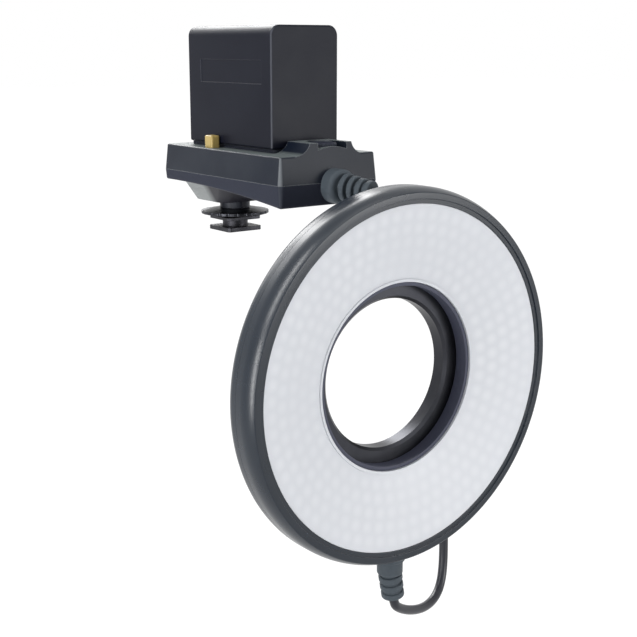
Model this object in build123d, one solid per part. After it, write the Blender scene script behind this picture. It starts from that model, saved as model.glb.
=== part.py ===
from build123d import *
import math
import os

os.makedirs("parts", exist_ok=True)

# Millimetres. The origin is on the lens axis, where the adapter seats on the lens.
# The ring shines towards -Y, the cord runs on the +X side, and +Z is up. Depths in
# the head count back from its front plane.

# Fits
fit_gap = 0.10          # between pieces that are fastened together
turn_gap = 0.08         # radial clearance of what turns
slide_gap = 0.20        # between pieces that slide or are captured

# Ring head
rim_r = 78.5
rim_width = 6.5         # from the diffuser's edge to the rim's largest radius
rim_taper = 2.1         # how much smaller the rim is at its front edge
rim_bulge = 6.8         # depth over which the rim bulges out to its largest radius
rim_edge_round = 0.6
diffuser_inner_r = 39.6
dish_depth = 7.25       # the lit face is dished: its inner edge lies this much deeper
diffuser_wall = 1.8
bead_width = 1.2        # raised bead round the diffuser's inner edge
bead_height = 0.5
flange_width = 3.8      # flange of the diffuser under the bezel's lip
flange_wall = 1.6
lip_wall = 1.2
lip_proud = 0.3
ridge_width = 1.8       # plain inner part of the lip, in front of the raised ridge
ridge_height = 0.6
shell_wall = 2.2
parting_depth = 9.0
spigot_wall = 1.0
spigot_height = 1.2
rim_back_depth = 11.0   # where the full radius ends and the back rounds in
head_depth = 16.0
tube_wall = 1.6
tube_front_depth = 7.7
tube_flange_width = 2.9
tube_flange_wall = 1.4
board_drop = 5.2        # from the diffuser's front face back to the lamp board
board_wall = 1.2
board_inner_margin = 3.1
board_outer_margin = 2.0
lamp_size = 3.2
lamp_height = 2.0
lamp_inner_margin = 5.2
lamp_outer_margin = 4.4
lamp_rows = 5
lamp_spacing = 6.33
rib_shares = (0.377, 0.725)  # places of the ribs across the board
rib_wall = 1.4
head_screw_count = 6
head_screw_inset = 5.9  # from the rim's largest radius
head_boss_r = 2.2
head_web_wall = 2.0
screw_r = 1.0
screw_hole_r = 1.1
screw_head_r = 1.85
screw_head_height = 1.1
head_screw_recess = 1.3
head_screw_length = 10.1

# Lens adapter, for a 67 mm filter thread
thread_r = 33.4
thread_length = 3.0
adapter_wall = 1.8
adapter_hub_step = 2.0  # from the aperture tube out to the hub's bore
adapter_hub_height = 2.0
adapter_flange_width = 4.58
adapter_flange_wall = 1.5
adapter_flange_gap = 0.15
adapter_land_inset = 2.0
seat_behind_head = 2.0  # the lens seat stands this far behind the head's back
retainer_width = 5.8
retainer_lip = 1.8
retainer_lip_wall = 1.0
retainer_screw_count = 4
retainer_screw_inset = 2.7

# Cord and its reliefs
cord_r = 2.05
head_exit_x = -2.6
head_exit_depth = 8.3
head_relief_neck_r = 3.9
head_relief_flange_r = 4.7
head_relief_collar_r = 5.5
head_relief_collar_length = 7.2
head_relief_root_r = 6.3
head_relief_root_height = 1.0
head_tail_length = 12.2
head_tail_r = 5.2
head_tail_tip_r = 4.9
head_groove_r = 4.1
head_tail_direction = (0.19, 0.035, -0.981)
unit_exit_x = 2.4
unit_exit_z = 74.0
unit_relief_neck_r = 5.0
unit_relief_flange_r = 5.8
unit_relief_collar_r = 7.4
unit_relief_collar_length = 6.6
unit_tail_length = 15.2
unit_tail_r = 6.3
unit_tail_tip_r = 4.6
unit_groove_r = 3.75
unit_tail_direction = (0.308, -0.947, -0.087)
head_collar_round = 1.0
unit_collar_round = 2.2
tail_sink = 1.0         # of each tail into its collar
relief_flange_wall = 1.2
relief_flange_gap = 0.9  # from the unit's wall back to the flange
groove_share = 0.34     # of the pitch of the ribs

# Shoe, under the control unit
shoe_y = 110.5          # centre of the shoe behind the lens seat
foot_bottom_z = 46.6
foot_width = 18.6
foot_length = 18.0
foot_wall = 2.0
stem_r = 6.0
rail_room = 3.3         # open room for the camera's shoe rails
plate_wall = 1.4
wheel_r = 16.0
wheel_height = 3.7
wheel_edge = 0.6
wheel_hub_r = 9.2
wheel_notches = 24
wheel_notch_r = 0.9
collar_r = 7.1
collar_height = 3.8
boss_height = 10.2      # up to the plan of its top, above the arched case
boss_bottom = (28.0, 26.0)
boss_top = (40.0, 42.0)
boss_bottom_shift = 1.5
boss_top_shift = -2.5
boss_round = 5.0
foot_screw_length = 7.4
stem_screw_x = 3.2
boss_screw_x = 11.0

# Control unit
unit_width = 52.5       # at the parting line
unit_length = 95.4
unit_front_y = 35.8
unit_corner = 2.2
unit_inner_corner = 2.0
unit_draft = 6.0        # degrees, upper case
lower_draft = 5.0
boss_to_parting = 14.4  # from the boss's underside to the parting line
lower_front_height = 9.8
lower_back_height = 4.8
belly_rise = 1.6        # how far the lower case's underside arches up between its ends
deck_height = 11.8      # from the parting line to the deck
deck_edge_round = 0.8
lower_edge_round = 1.0
case_wall = 2.2
hump_height = 5.0       # above the deck
hump_left_x = -17.0
hump_left_top_x = -9.3
hump_right_top_x = 12.7
hump_right_x = 17.2
hump_left_bend = (0.58, 0.27)   # a point on each concave flank, as shares of its run and rise
hump_right_bend = (0.36, 0.34)
hump_back_y = 53.4
arch_drop = 1.7         # from the hump's top down to the arched edge before the dial
arch_rise = 1.3
arch_half_width = 7.6
dial_x = 2.4
dial_y = 45.3
dial_r = 6.6
dial_well_gap = 0.4
dial_height = 3.7
dial_flutes = 20
dial_flute_r = 0.5
dial_flute_bite = 0.3   # how far the flutes cut in
dial_bevel = 0.5
well_depth = 4.4
shaft_r = 2.4
shaft_length = 10.9
shaft_foot = 2.0        # above the driver board
pot_width = 11.0
pot_length = 7.0
pot_height = 5.8
pot_floor = 1.5
case_screw_x = 21.2
case_screw_inset = 8.6
case_post_r = 2.2
case_screw_length = 8.0
board_width = 35.0
board_front_y = 41.6
board_length = 84.0
board_thick = 1.6
board_z = 76.0
board_post_x = 14.0
board_post_inset = 5.0
board_post_r = 2.4
board_screw_bite = 3.0  # how far its screws go into the posts

# Driver parts on the board, each with its distance behind the board's front edge
coil_x = -7.0
coil_back = 24.4
coil_r = 4.5
coil_height = 4.2
coil_base = 10.0
cap_x = 8.0
cap_back = 20.4
cap_pitch = 8.0
cap_r = 3.2
cap_height = 4.8
chip_back = 41.4
chip_size = 5.5
chip_height = 1.6
sink_x = 10.5
sink_back = 43.4
sink_width = 9.0
sink_length = 10.0
sink_height = 2.4
plug_back = 75.4
plug_width = 12.0
plug_length = 6.0
plug_height = 4.5

# Release button
button_x = -20.4
button_y = 97.0
button_width = 4.6
button_length = 6.2
button_above = 5.6      # above the deck
button_gap = 0.2
button_round = 1.0
button_top_round = 0.9
button_shelf = 0.8      # how far its shelf under the deck reaches before and behind it
arm_wall = 2.2
arm_width = 4.0
tooth_x = -13.5
tooth_width = 1.8
spring_r = 1.7
spring_wire_r = 0.35
spring_turns = 4
spring_length = 4.5

# Battery plate and pack
plate_width = 31.6
plate_front_y = 54.6
plate_length = 68.0
plate_height = 1.6
plate_screw_x = 8.0
plate_screw_front = 11.0
plate_screw_back = 6.0
plate_skin = 0.4        # left above the screws
plate_corner = 2.0
lug_length = 7.0
lug_pitch = 21.0
lug_first_y = 66.0
lug_count = 3
lug_inner_x = 12.0
lug_stem = 1.5
lug_head = 3.0
lug_stem_height = 2.0
lug_head_height = 1.2
pack_travel = 10.0
contact_block_inset = 1.0  # behind the plate's front edge
contact_block_width = 14.0
contact_block_length = 3.0
contact_block_height = 3.0
blade_count = 3
blade_pitch = 4.5
blade_width = 1.2
blade_length = 5.8
blade_wall = 0.6
blade_room = 0.9        # from the blades' tips to the back of the pack's recess
terminal_wall = 0.6
terminal_height = 1.6
pack_width = 35.4
pack_length = 67.0
pack_height = 51.8
pack_front_y = 53.7
pack_gap = 0.2          # between the plate and the pack's underside
pack_top_round = 4.5
pack_bottom_round = 0.8
pack_end_round = 0.8
pack_wall = 1.6
pack_base_height = 4.5
pack_screw_x = 9.5
pack_screw_inset = 4.0  # before the base's back edge
cradle_wall = 1.2
cradle_gap = 1.0        # round the cells' bed
label_length = 49.0
label_height = 10.0
label_depth = 0.3
label_from_front = 7.5
label_z = 121.2
cell_r = 7.25
cell_length = 49.2
cell_nub_r = 2.6
cell_nub = 1.2
cell_gap = 0.2
cell_columns = 2
cell_layers = 3
end_board = 1.2
end_board_drop = 2.0    # below the top of the cells
strip_wall = 0.5
strip_height = 6.0
strip_share = 0.8       # of the width of two cells
leaf_width = 5.0
leaf_rise = 5.0         # half the height of a leaf on the back wall
leaf_tip = 1.2          # half the height of its flat against the cell

# Places that follow from the sizes
front_y = -(head_depth + seat_behind_head)
diffuser_outer_r = rim_r - rim_width
dish_slope = dish_depth / (diffuser_outer_r - diffuser_inner_r)
wall_inner_r = rim_r - shell_wall
spigot_inner_r = wall_inner_r - fit_gap - spigot_wall
back_round = head_depth - rim_back_depth
back_inner_depth = head_depth - shell_wall
tube_outer_r = diffuser_inner_r - fit_gap
tube_inner_r = tube_outer_r - tube_wall
board_inner_r = diffuser_inner_r + board_inner_margin
board_outer_r = diffuser_outer_r - board_outer_margin
lamp_first_row_r = diffuser_inner_r + lamp_inner_margin
lamp_row_pitch = (diffuser_outer_r - lamp_outer_margin - lamp_first_row_r) / (lamp_rows - 1)
rib_radii = [board_inner_r + share * (board_outer_r - board_inner_r) for share in rib_shares]
head_screw_circle_r = rim_r - head_screw_inset
rim_bulge_r = (rim_taper ** 2 + rim_bulge ** 2) / (2 * rim_taper)
hub_bore_r = tube_outer_r + adapter_hub_step
adapter_bore_r = thread_r - adapter_wall
adapter_hub_r = hub_bore_r - turn_gap
adapter_flange_r = adapter_hub_r + adapter_flange_width
adapter_land_r = adapter_flange_r - adapter_land_inset
retainer_inner_r = adapter_flange_r + slide_gap
retainer_outer_r = retainer_inner_r + retainer_width
retainer_screw_circle_r = retainer_outer_r - retainer_screw_inset
flange_depth = lip_wall - lip_proud
foot_top_z = foot_bottom_z + foot_wall
plate_bottom_z = foot_top_z + rail_room
wheel_bottom_z = plate_bottom_z + plate_wall + fit_gap
wheel_top_z = wheel_bottom_z + wheel_height
collar_bottom_z = wheel_top_z + fit_gap
boss_bottom_z = collar_bottom_z + collar_height
parting_z = boss_bottom_z + boss_to_parting
bottom_front_z = parting_z - lower_front_height
bottom_back_z = parting_z - lower_back_height
deck_z = parting_z + deck_height
deck_under_z = deck_z - case_wall
hump_z = deck_z + hump_height
unit_mid_y = unit_front_y + unit_length / 2
unit_back_y = unit_front_y + unit_length
well_z = hump_z - well_depth
board_top_z = board_z + board_thick
plate_top_z = deck_z + plate_height
blade_front_y = plate_front_y + contact_block_inset + contact_block_length
pack_bottom_z = plate_top_z + pack_gap
pack_top_z = pack_bottom_z + pack_height
base_top_z = pack_bottom_z + pack_base_height
bed_z = base_top_z + fit_gap
cells_z = bed_z + cradle_wall
cells_room_y = pack_front_y + pack_wall + cradle_gap
cell_front_y = cells_room_y + end_board + strip_wall + cell_gap
pack_inner_back_y = pack_front_y + pack_length - pack_wall
pack_screw_y = pack_inner_back_y - fit_gap - pack_screw_inset


def block(x0, x1, y0, y1, z0, z1):
    """A box between two corners."""
    middle = ((x0 + x1) / 2, (y0 + y1) / 2, (z0 + z1) / 2)
    return Pos(*middle) * Box(x1 - x0, y1 - y0, z1 - z0)


def post(x, y, z0, z1, r):
    """An upright cylinder."""
    return Pos(x, y, (z0 + z1) / 2) * Cylinder(r, z1 - z0)


def rod_y(x, z, y0, y1, r):
    """A cylinder along Y."""
    return Pos(x, (y0 + y1) / 2, z) * Rot(90, 0, 0) * Cylinder(r, y1 - y0)


def ring_y(points):
    """A ring turned round the Y axis from an outline of radius and depth."""
    return revolve(make_face(Polyline(*points, close=True)), Axis.Y)


def seated(shape):
    """Moves a head piece from its front plane to its place before the lens seat."""
    return Pos(0, front_y, 0) * shape


def dish(r):
    """Depth of the diffuser's front face at a radius."""
    return (diffuser_outer_r - r) * dish_slope


def circle_places(r, count, first=0.0):
    """Evenly spaced places on a circle about the lens axis."""
    turns = [first + 2 * math.pi * k / count for k in range(count)]
    return [(r * math.cos(a), r * math.sin(a)) for a in turns]


def rim_side(grow):
    """Bulged side of the rim in section, from its front edge back to its largest radius."""
    crest = -lip_proud - ridge_height - grow
    widest = crest + grow + rim_bulge
    r = rim_bulge_r + grow
    start = math.degrees(math.acos((rim_bulge_r - rim_taper) / rim_bulge_r))
    return CenterArc((rim_r - rim_bulge_r, widest), r, -start, start)


def rim_outline(grow):
    """Outline of the closed head, used to seat the cord relief on its rim."""
    side_arc = rim_side(grow)
    back_arc = CenterArc((rim_r - back_round, rim_back_depth), back_round + grow, 0, 90)
    front = Polyline((0, (side_arc @ 0).Y), side_arc @ 0)
    side = Line(side_arc @ 1, back_arc @ 0)
    back = Polyline(back_arc @ 1, (0, head_depth + grow), (0, (side_arc @ 0).Y))
    return make_face([front, side_arc, side, back_arc, back])


def ring_front_bezel():
    """Black rim with a bulged side; its lip holds the diffuser."""
    ridge_r = diffuser_outer_r + ridge_width
    lip_front = -lip_proud
    crest = lip_front - ridge_height
    side = rim_side(0)
    front = Polyline(
        (diffuser_outer_r, flange_depth),
        (diffuser_outer_r, lip_front),
        (ridge_r, lip_front),
        (ridge_r, crest),
        side @ 0,
    )
    inside = Polyline(
        side @ 1,
        (rim_r, parting_depth),
        (wall_inner_r, parting_depth),
        (wall_inner_r, flange_depth),
        (diffuser_outer_r, flange_depth),
    )
    bezel = revolve(make_face([front, side, inside]), Axis.Y)
    crest_edges = bezel.edges().filter_by(GeomType.CIRCLE).group_by(Axis.Y)[0]
    bezel = fillet(crest_edges.sort_by(lambda edge: edge.radius)[-1], rim_edge_round)
    boss_front = flange_depth + flange_wall + fit_gap
    web_back = parting_depth - spigot_height - fit_gap
    for k in range(head_screw_count):
        spin = Rot(0, -360 * k / head_screw_count, 0)
        boss = rod_y(head_screw_circle_r, 0, boss_front, parting_depth, head_boss_r)
        web = block(head_screw_circle_r, wall_inner_r + fit_gap, boss_front, web_back,
                    -head_web_wall / 2, head_web_wall / 2)
        pilot = rod_y(head_screw_circle_r, 0, boss_front + flange_wall, parting_depth, screw_r + fit_gap / 2)
        bezel = bezel + spin * (boss + web) - spin * pilot
    return seated(bezel - head_exit_hole())


def head_exit_hole():
    """Hole at the foot of the rim for the cord relief's neck."""
    hole = post(0, 0, -rim_r, -board_outer_r, head_relief_neck_r + fit_gap)
    return Pos(head_exit_x, head_exit_depth, 0) * hole


def ring_diffuser():
    """Frosted dished ring with a flange outside and a bead inside."""
    bead_r = diffuser_inner_r + bead_width
    flange_r = diffuser_outer_r + flange_width
    return seated(ring_y([
        (diffuser_inner_r, dish(diffuser_inner_r) - bead_height),
        (bead_r, dish(bead_r) - bead_height),
        (bead_r, dish(bead_r)),
        (diffuser_outer_r - fit_gap, 0),
        (diffuser_outer_r - fit_gap, flange_depth),
        (flange_r, flange_depth),
        (flange_r, flange_depth + flange_wall),
        (diffuser_outer_r - flange_wall, flange_depth + flange_wall),
        (diffuser_inner_r, dish(diffuser_inner_r) + diffuser_wall),
    ]))


def ring_aperture_tube():
    """Black wall of the hole, with a ledge under the diffuser's inner edge."""
    ledge = dish(diffuser_inner_r) + diffuser_wall + fit_gap
    ledge_r = tube_outer_r + bead_width
    flange_r = tube_outer_r + tube_flange_width
    return seated(ring_y([
        (tube_inner_r, tube_front_depth),
        (tube_outer_r, tube_front_depth),
        (tube_outer_r, ledge),
        (ledge_r, ledge),
        (ledge_r, ledge + fit_gap * 8),
        (tube_outer_r, ledge + fit_gap * 16),
        (tube_outer_r, back_inner_depth - tube_flange_wall),
        (flange_r, back_inner_depth - tube_flange_wall),
        (flange_r, back_inner_depth),
        (tube_inner_r, back_inner_depth),
    ]))


def ring_rear_housing():
    """Back shell of the head with a spigot, board ribs, screw bosses and the adapter's bore."""
    outer_arc = CenterArc((rim_r - back_round, rim_back_depth), back_round, 0, 90)
    inner_round = back_inner_depth - rim_back_depth
    inner_arc = CenterArc((spigot_inner_r - inner_round, rim_back_depth), inner_round, 0, 90)
    spigot_front = parting_depth - spigot_height
    outside = Polyline(
        (spigot_inner_r, spigot_front),
        (spigot_inner_r + spigot_wall, spigot_front),
        (spigot_inner_r + spigot_wall, parting_depth),
        (rim_r, parting_depth),
        (rim_r, rim_back_depth),
    )
    back = Polyline(
        outer_arc @ 1,
        (hub_bore_r, head_depth),
        (hub_bore_r, back_inner_depth),
        inner_arc @ 1,
    )
    inside = Line(inner_arc @ 0, (spigot_inner_r, spigot_front))
    housing = revolve(make_face([outside, outer_arc, back, inner_arc, inside]), Axis.Y)
    for r in rib_radii:
        rib_front = dish(r) + board_drop + board_wall + fit_gap / 2
        housing = housing + ring_y([
            (r, rib_front),
            (r + rib_wall, rib_front),
            (r + rib_wall, back_inner_depth + fit_gap),
            (r, back_inner_depth + fit_gap),
        ])
    for x, z in circle_places(head_screw_circle_r, head_screw_count):
        housing = housing + rod_y(x, z, parting_depth + fit_gap / 2, back_inner_depth + fit_gap,
                                  head_boss_r)
        housing = housing - rod_y(x, z, parting_depth, head_depth, screw_hole_r)
        housing = housing - rod_y(x, z, head_depth - head_screw_recess, head_depth + 1,
                                  screw_head_r + fit_gap)
    for x, z in circle_places(retainer_screw_circle_r, retainer_screw_count, math.pi / 4):
        housing = housing - rod_y(x, z, back_inner_depth - 1, head_depth, screw_r + fit_gap / 2)
    return seated(housing - head_exit_hole())


def ring_led_board():
    """Conical lamp board, parallel to the dished diffuser."""
    return seated(ring_y([
        (board_inner_r, dish(board_inner_r) + board_drop),
        (board_outer_r, dish(board_outer_r) + board_drop),
        (board_outer_r, dish(board_outer_r) + board_drop + board_wall),
        (board_inner_r, dish(board_inner_r) + board_drop + board_wall),
    ]))


def ring_led_lamps():
    """Five rows of lamps that stand square on the conical board."""
    lamps = []
    lean = math.hypot(1, dish_slope)
    lift = lamp_height / 2 + fit_gap / 2
    for row in range(lamp_rows):
        r = lamp_first_row_r + row * lamp_row_pitch
        count = round(2 * math.pi * r / lamp_spacing)
        for k in range(count):
            a = 2 * math.pi * (k + 0.5 * (row % 2)) / count
            out_x = math.cos(a)
            out_z = math.sin(a)
            normal = (-dish_slope * out_x / lean, -1 / lean, -dish_slope * out_z / lean)
            foot = (r * out_x, dish(r) + board_drop, r * out_z)
            centre = tuple(p + lift * n for p, n in zip(foot, normal))
            seat = Plane(origin=centre, x_dir=(-out_z, 0, out_x), z_dir=normal)
            lamps.append(seat * Box(lamp_size, lamp_size, lamp_height))
    return seated(Compound(lamps))


def turned_screw(x, z, seat, length):
    """A pan head screw along -Y whose head seats at a depth."""
    head = rod_y(x, z, seat, seat + screw_head_height, screw_head_r)
    return head + rod_y(x, z, seat - length, seat + fit_gap, screw_r)


def ring_screws():
    """Screws that hold the rear housing to the bezel."""
    seat = head_depth - head_screw_recess
    places = circle_places(head_screw_circle_r, head_screw_count)
    return seated(Compound([turned_screw(x, z, seat, head_screw_length) for x, z in places]))


def lens_adapter_ring():
    """Ring that turns in the head and screws into the lens's filter thread."""
    front = head_depth - adapter_hub_height
    flange_front = head_depth + adapter_flange_gap
    flange_back = flange_front + adapter_flange_wall
    seat = head_depth + seat_behind_head
    return seated(ring_y([
        (adapter_bore_r + lip_wall, front),
        (adapter_hub_r, front),
        (adapter_hub_r, flange_front),
        (adapter_flange_r, flange_front),
        (adapter_flange_r, flange_back),
        (adapter_land_r, flange_back),
        (adapter_land_r, seat),
        (thread_r, seat),
        (thread_r, seat + thread_length),
        (adapter_bore_r, seat + thread_length),
        (adapter_bore_r, front + lip_wall),
    ]))


def adapter_retainer():
    """Ring that captures the adapter's flange against the back of the head."""
    inner = retainer_inner_r
    lip_under = head_depth + adapter_flange_gap + adapter_flange_wall + adapter_flange_gap
    back = lip_under + retainer_lip_wall
    retainer = ring_y([
        (inner, head_depth),
        (retainer_outer_r, head_depth),
        (retainer_outer_r, back - fit_gap * 4),
        (retainer_outer_r - fit_gap * 4, back),
        (inner - retainer_lip, back),
        (inner - retainer_lip, lip_under),
        (inner, lip_under),
    ])
    for x, z in circle_places(retainer_screw_circle_r, retainer_screw_count, math.pi / 4):
        retainer = retainer - rod_y(x, z, head_depth, back, screw_hole_r)
        retainer = retainer - rod_y(x, z, back - screw_head_height, back + 1, screw_head_r + fit_gap)
    return seated(retainer)


def retainer_screws():
    """Four screws of the retainer."""
    back = head_depth + 2 * adapter_flange_gap + adapter_flange_wall + retainer_lip_wall
    seat = back - screw_head_height
    length = seat - back_inner_depth - fit_gap * 4
    places = circle_places(retainer_screw_circle_r, retainer_screw_count, math.pi / 4)
    return seated(Compound([turned_screw(x, z, seat, length) for x, z in places]))


def ribbed_tail(length, root_r, tip_r, groove_r, ribs):
    """Tapered tail of a cord relief along +Z: solid rings with grooves between."""
    step = length / ribs
    groove = step * groove_share
    tail = post(0, 0, 0, length, groove_r)
    for k in range(ribs):
        low = k * step + groove
        high = (k + 1) * step
        low_r = root_r + (tip_r - root_r) * low / length
        high_r = root_r + (tip_r - root_r) * high / length
        outline = Polyline((0, low), (low_r, low), (high_r, high), (0, high), close=True)
        tail = tail + revolve(make_face(Plane.XZ * outline), Axis.Z)
    return tail


def along(root, direction):
    """A frame at a point with its Z axis along a direction."""
    return Plane(origin=root, z_dir=direction)


def tail_tip(root, direction, length):
    """The point where a relief's tail ends."""
    size = math.sqrt(sum(d * d for d in direction))
    return tuple(p + d / size * length for p, d in zip(root, direction))


head_tail_root = (head_exit_x, front_y + head_exit_depth, -rim_r - head_relief_collar_length + tail_sink)
unit_tail_root = (unit_exit_x, unit_front_y - unit_relief_collar_length + tail_sink, unit_exit_z)
head_tip = tail_tip(head_tail_root, head_tail_direction, head_tail_length)
unit_tip = tail_tip(unit_tail_root, unit_tail_direction, unit_tail_length)


def ring_cord_relief():
    """Rubber relief under the ring: flange inside, collar on the rim, ribbed tail."""
    x = head_exit_x
    y = front_y + head_exit_depth
    flange_top = -(spigot_inner_r - 2.0)
    neck = post(x, y, -rim_r - 1, flange_top, head_relief_neck_r)
    flange = post(x, y, flange_top - relief_flange_wall, flange_top, head_relief_flange_r)
    collar = post(x, y, -rim_r - head_relief_collar_length, -rim_r + rim_taper, head_relief_collar_r)
    collar = fillet(collar.edges().sort_by(Axis.Z)[0], head_collar_round)
    collar = collar + post(x, y, -rim_r - head_relief_root_height, -rim_r + rim_taper, head_relief_root_r)
    head = Pos(0, front_y, 0) * revolve(rim_outline(fit_gap / 2), Axis.Y)
    tail = ribbed_tail(head_tail_length, head_tail_r, head_tail_tip_r, head_groove_r, 3)
    return neck + flange + (collar - head) + along(head_tail_root, head_tail_direction) * tail


def unit_cord_relief():
    """Rubber relief on the control unit's front: flange, domed collar, ribbed tail."""
    wall_y = unit_front_y + case_wall + relief_flange_gap
    back_y = wall_y + relief_flange_wall
    reach = unit_relief_flange_r + 1
    neck = rod_y(unit_exit_x, unit_exit_z, unit_front_y - 1, back_y, unit_relief_neck_r)
    flange = rod_y(unit_exit_x, unit_exit_z, wall_y, back_y, unit_relief_flange_r)
    above = block(unit_exit_x - reach, unit_exit_x + reach, wall_y - 1, back_y + 1,
                  floor_at(back_y) + fit_gap, unit_exit_z + reach)
    flange = flange & above
    collar = rod_y(unit_exit_x, unit_exit_z, unit_front_y - unit_relief_collar_length, unit_front_y,
                   unit_relief_collar_r)
    collar = fillet(collar.edges().sort_by(Axis.Y)[0], unit_collar_round)
    tail = ribbed_tail(unit_tail_length, unit_tail_r, unit_tail_tip_r, unit_groove_r, 4)
    return neck + flange + collar + along(unit_tail_root, unit_tail_direction) * tail


# The cord's route between the two tips, which it leaves along each relief's own axis.
# Its upper bends are given from the unit's exit, the lower ones from the foot of the rim
unit_cord_lead = 7.6
head_cord_lead = 3.9
upper_route = [
    (11.4, -32.2, -7.2),
    (19.0, -32.8, -17.6),
    (30.4, -30.6, -36.6),
    (39.8, -28.2, -62.6),
    (44.4, -27.2, -96.6),
]
lower_route = [
    (48.8, 18.7, 22.5),
    (47.8, 18.4, -3.5),
    (46.9, 16.9, -20.5),
    (43.2, 14.3, -30.1),
    (36.2, 11.1, -34.5),
    (26.1, 7.4, -34.4),
    (14.6, 3.7, -30.5),
    (5.53, 1.18, -25.3),
]


def cord():
    """Round cord between the two reliefs: straight runs joined by tangent arcs."""
    first = tail_tip(unit_tip, unit_tail_direction, unit_cord_lead)
    last = tail_tip(head_tip, head_tail_direction, head_cord_lead)
    unit_exit = Vector(unit_exit_x, unit_front_y, unit_exit_z)
    head_exit = Vector(head_exit_x, front_y + head_exit_depth, -rim_r)
    upper = [unit_exit + Vector(*p) for p in upper_route]
    lower = [head_exit + Vector(*p) for p in lower_route]
    points = [Vector(*unit_tip), Vector(*first)] + upper + lower + [Vector(*last), Vector(*head_tip)]
    runs = [(b - a).length for a, b in zip(points, points[1:])]
    radii = []
    for k in range(1, len(points) - 1):
        turn = (points[k] - points[k - 1]).get_angle(points[k + 1] - points[k])
        radii.append(0.45 * min(runs[k - 1], runs[k]) / math.tan(math.radians(turn / 2)))
    path = FilletPolyline(*points, radius=radii)
    section = Plane(origin=path @ 0, z_dir=path % 0) * Circle(cord_r)
    tube = sweep(section, path)
    print("cord length", round(path.length, 1), "tightest bend", round(min(radii), 1))
    return tube


def bottom_at(y):
    """Height of the lower case's arched underside at a place behind the lens seat."""
    t = (y - unit_front_y) / unit_length
    return bottom_front_z + (bottom_back_z - bottom_front_z) * t + 4 * belly_rise * t * (1 - t)


def floor_at(y):
    """Height of the lower case's floor."""
    return bottom_at(y) + case_wall


def above_bottom(lift, top_z):
    """Everything between the arched underside, raised by a lift, and a height."""
    y0 = unit_front_y - 1
    y1 = unit_back_y + 1
    low0 = bottom_at(y0) + lift
    low1 = bottom_at(y1) + lift
    bend = 2 * (bottom_at(unit_mid_y) + lift) - (low0 + low1) / 2
    arch = Bezier((y0, low0), (unit_mid_y, bend), (y1, low1))
    rest = Polyline((y1, low1), (y1, top_z), (y0, top_z), (y0, low0))
    side = Plane.YZ * make_face([arch, rest])
    return Pos(-unit_width, 0, 0) * extrude(side, amount=2 * unit_width)


def unit_prism(height, draft, inset=0.0, corner=unit_corner):
    """Rounded block of the control unit's plan, drafted up or down from the parting line."""
    plan = RectangleRounded(unit_width - 2 * inset, unit_length - 2 * inset, corner)
    return extrude(Plane(origin=(0, unit_mid_y, parting_z)) * plan, amount=height, taper=draft)


def hump_outline():
    """Front view of the raised part that carries the dial, with concave flanks."""
    left_run, left_rise = hump_left_bend
    right_run, right_rise = hump_right_bend
    left = ThreePointArc(
        (hump_left_x, deck_z),
        (hump_left_x + left_run * (hump_left_top_x - hump_left_x), deck_z + left_rise * hump_height),
        (hump_left_top_x, hump_z),
    )
    right = ThreePointArc(
        (hump_right_top_x, hump_z),
        (hump_right_top_x + right_run * (hump_right_x - hump_right_top_x),
         deck_z + right_rise * hump_height),
        (hump_right_x, deck_z),
    )
    top = Line(left @ 1, right @ 0)
    under = Polyline(right @ 1, (hump_right_x, deck_under_z), (hump_left_x, deck_under_z), left @ 0)
    return make_face([left, top, right, under])


def relief_hole():
    """Hole for the cord relief's neck, half in each case."""
    return rod_y(unit_exit_x, unit_exit_z, unit_front_y - 1, unit_front_y + 8, unit_relief_neck_r + fit_gap)


def case_screw_places():
    """Four corners where the two cases are screwed together."""
    near = unit_front_y + case_screw_inset
    far = unit_back_y - case_screw_inset
    return [(x, y) for x in (-case_screw_x, case_screw_x) for y in (near, far)]


def board_screw_places():
    """Four posts that carry the driver board."""
    near = board_front_y + board_post_inset
    far = board_front_y + board_length - board_post_inset
    return [(x, y) for x in (-board_post_x, board_post_x) for y in (near, far)]


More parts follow.
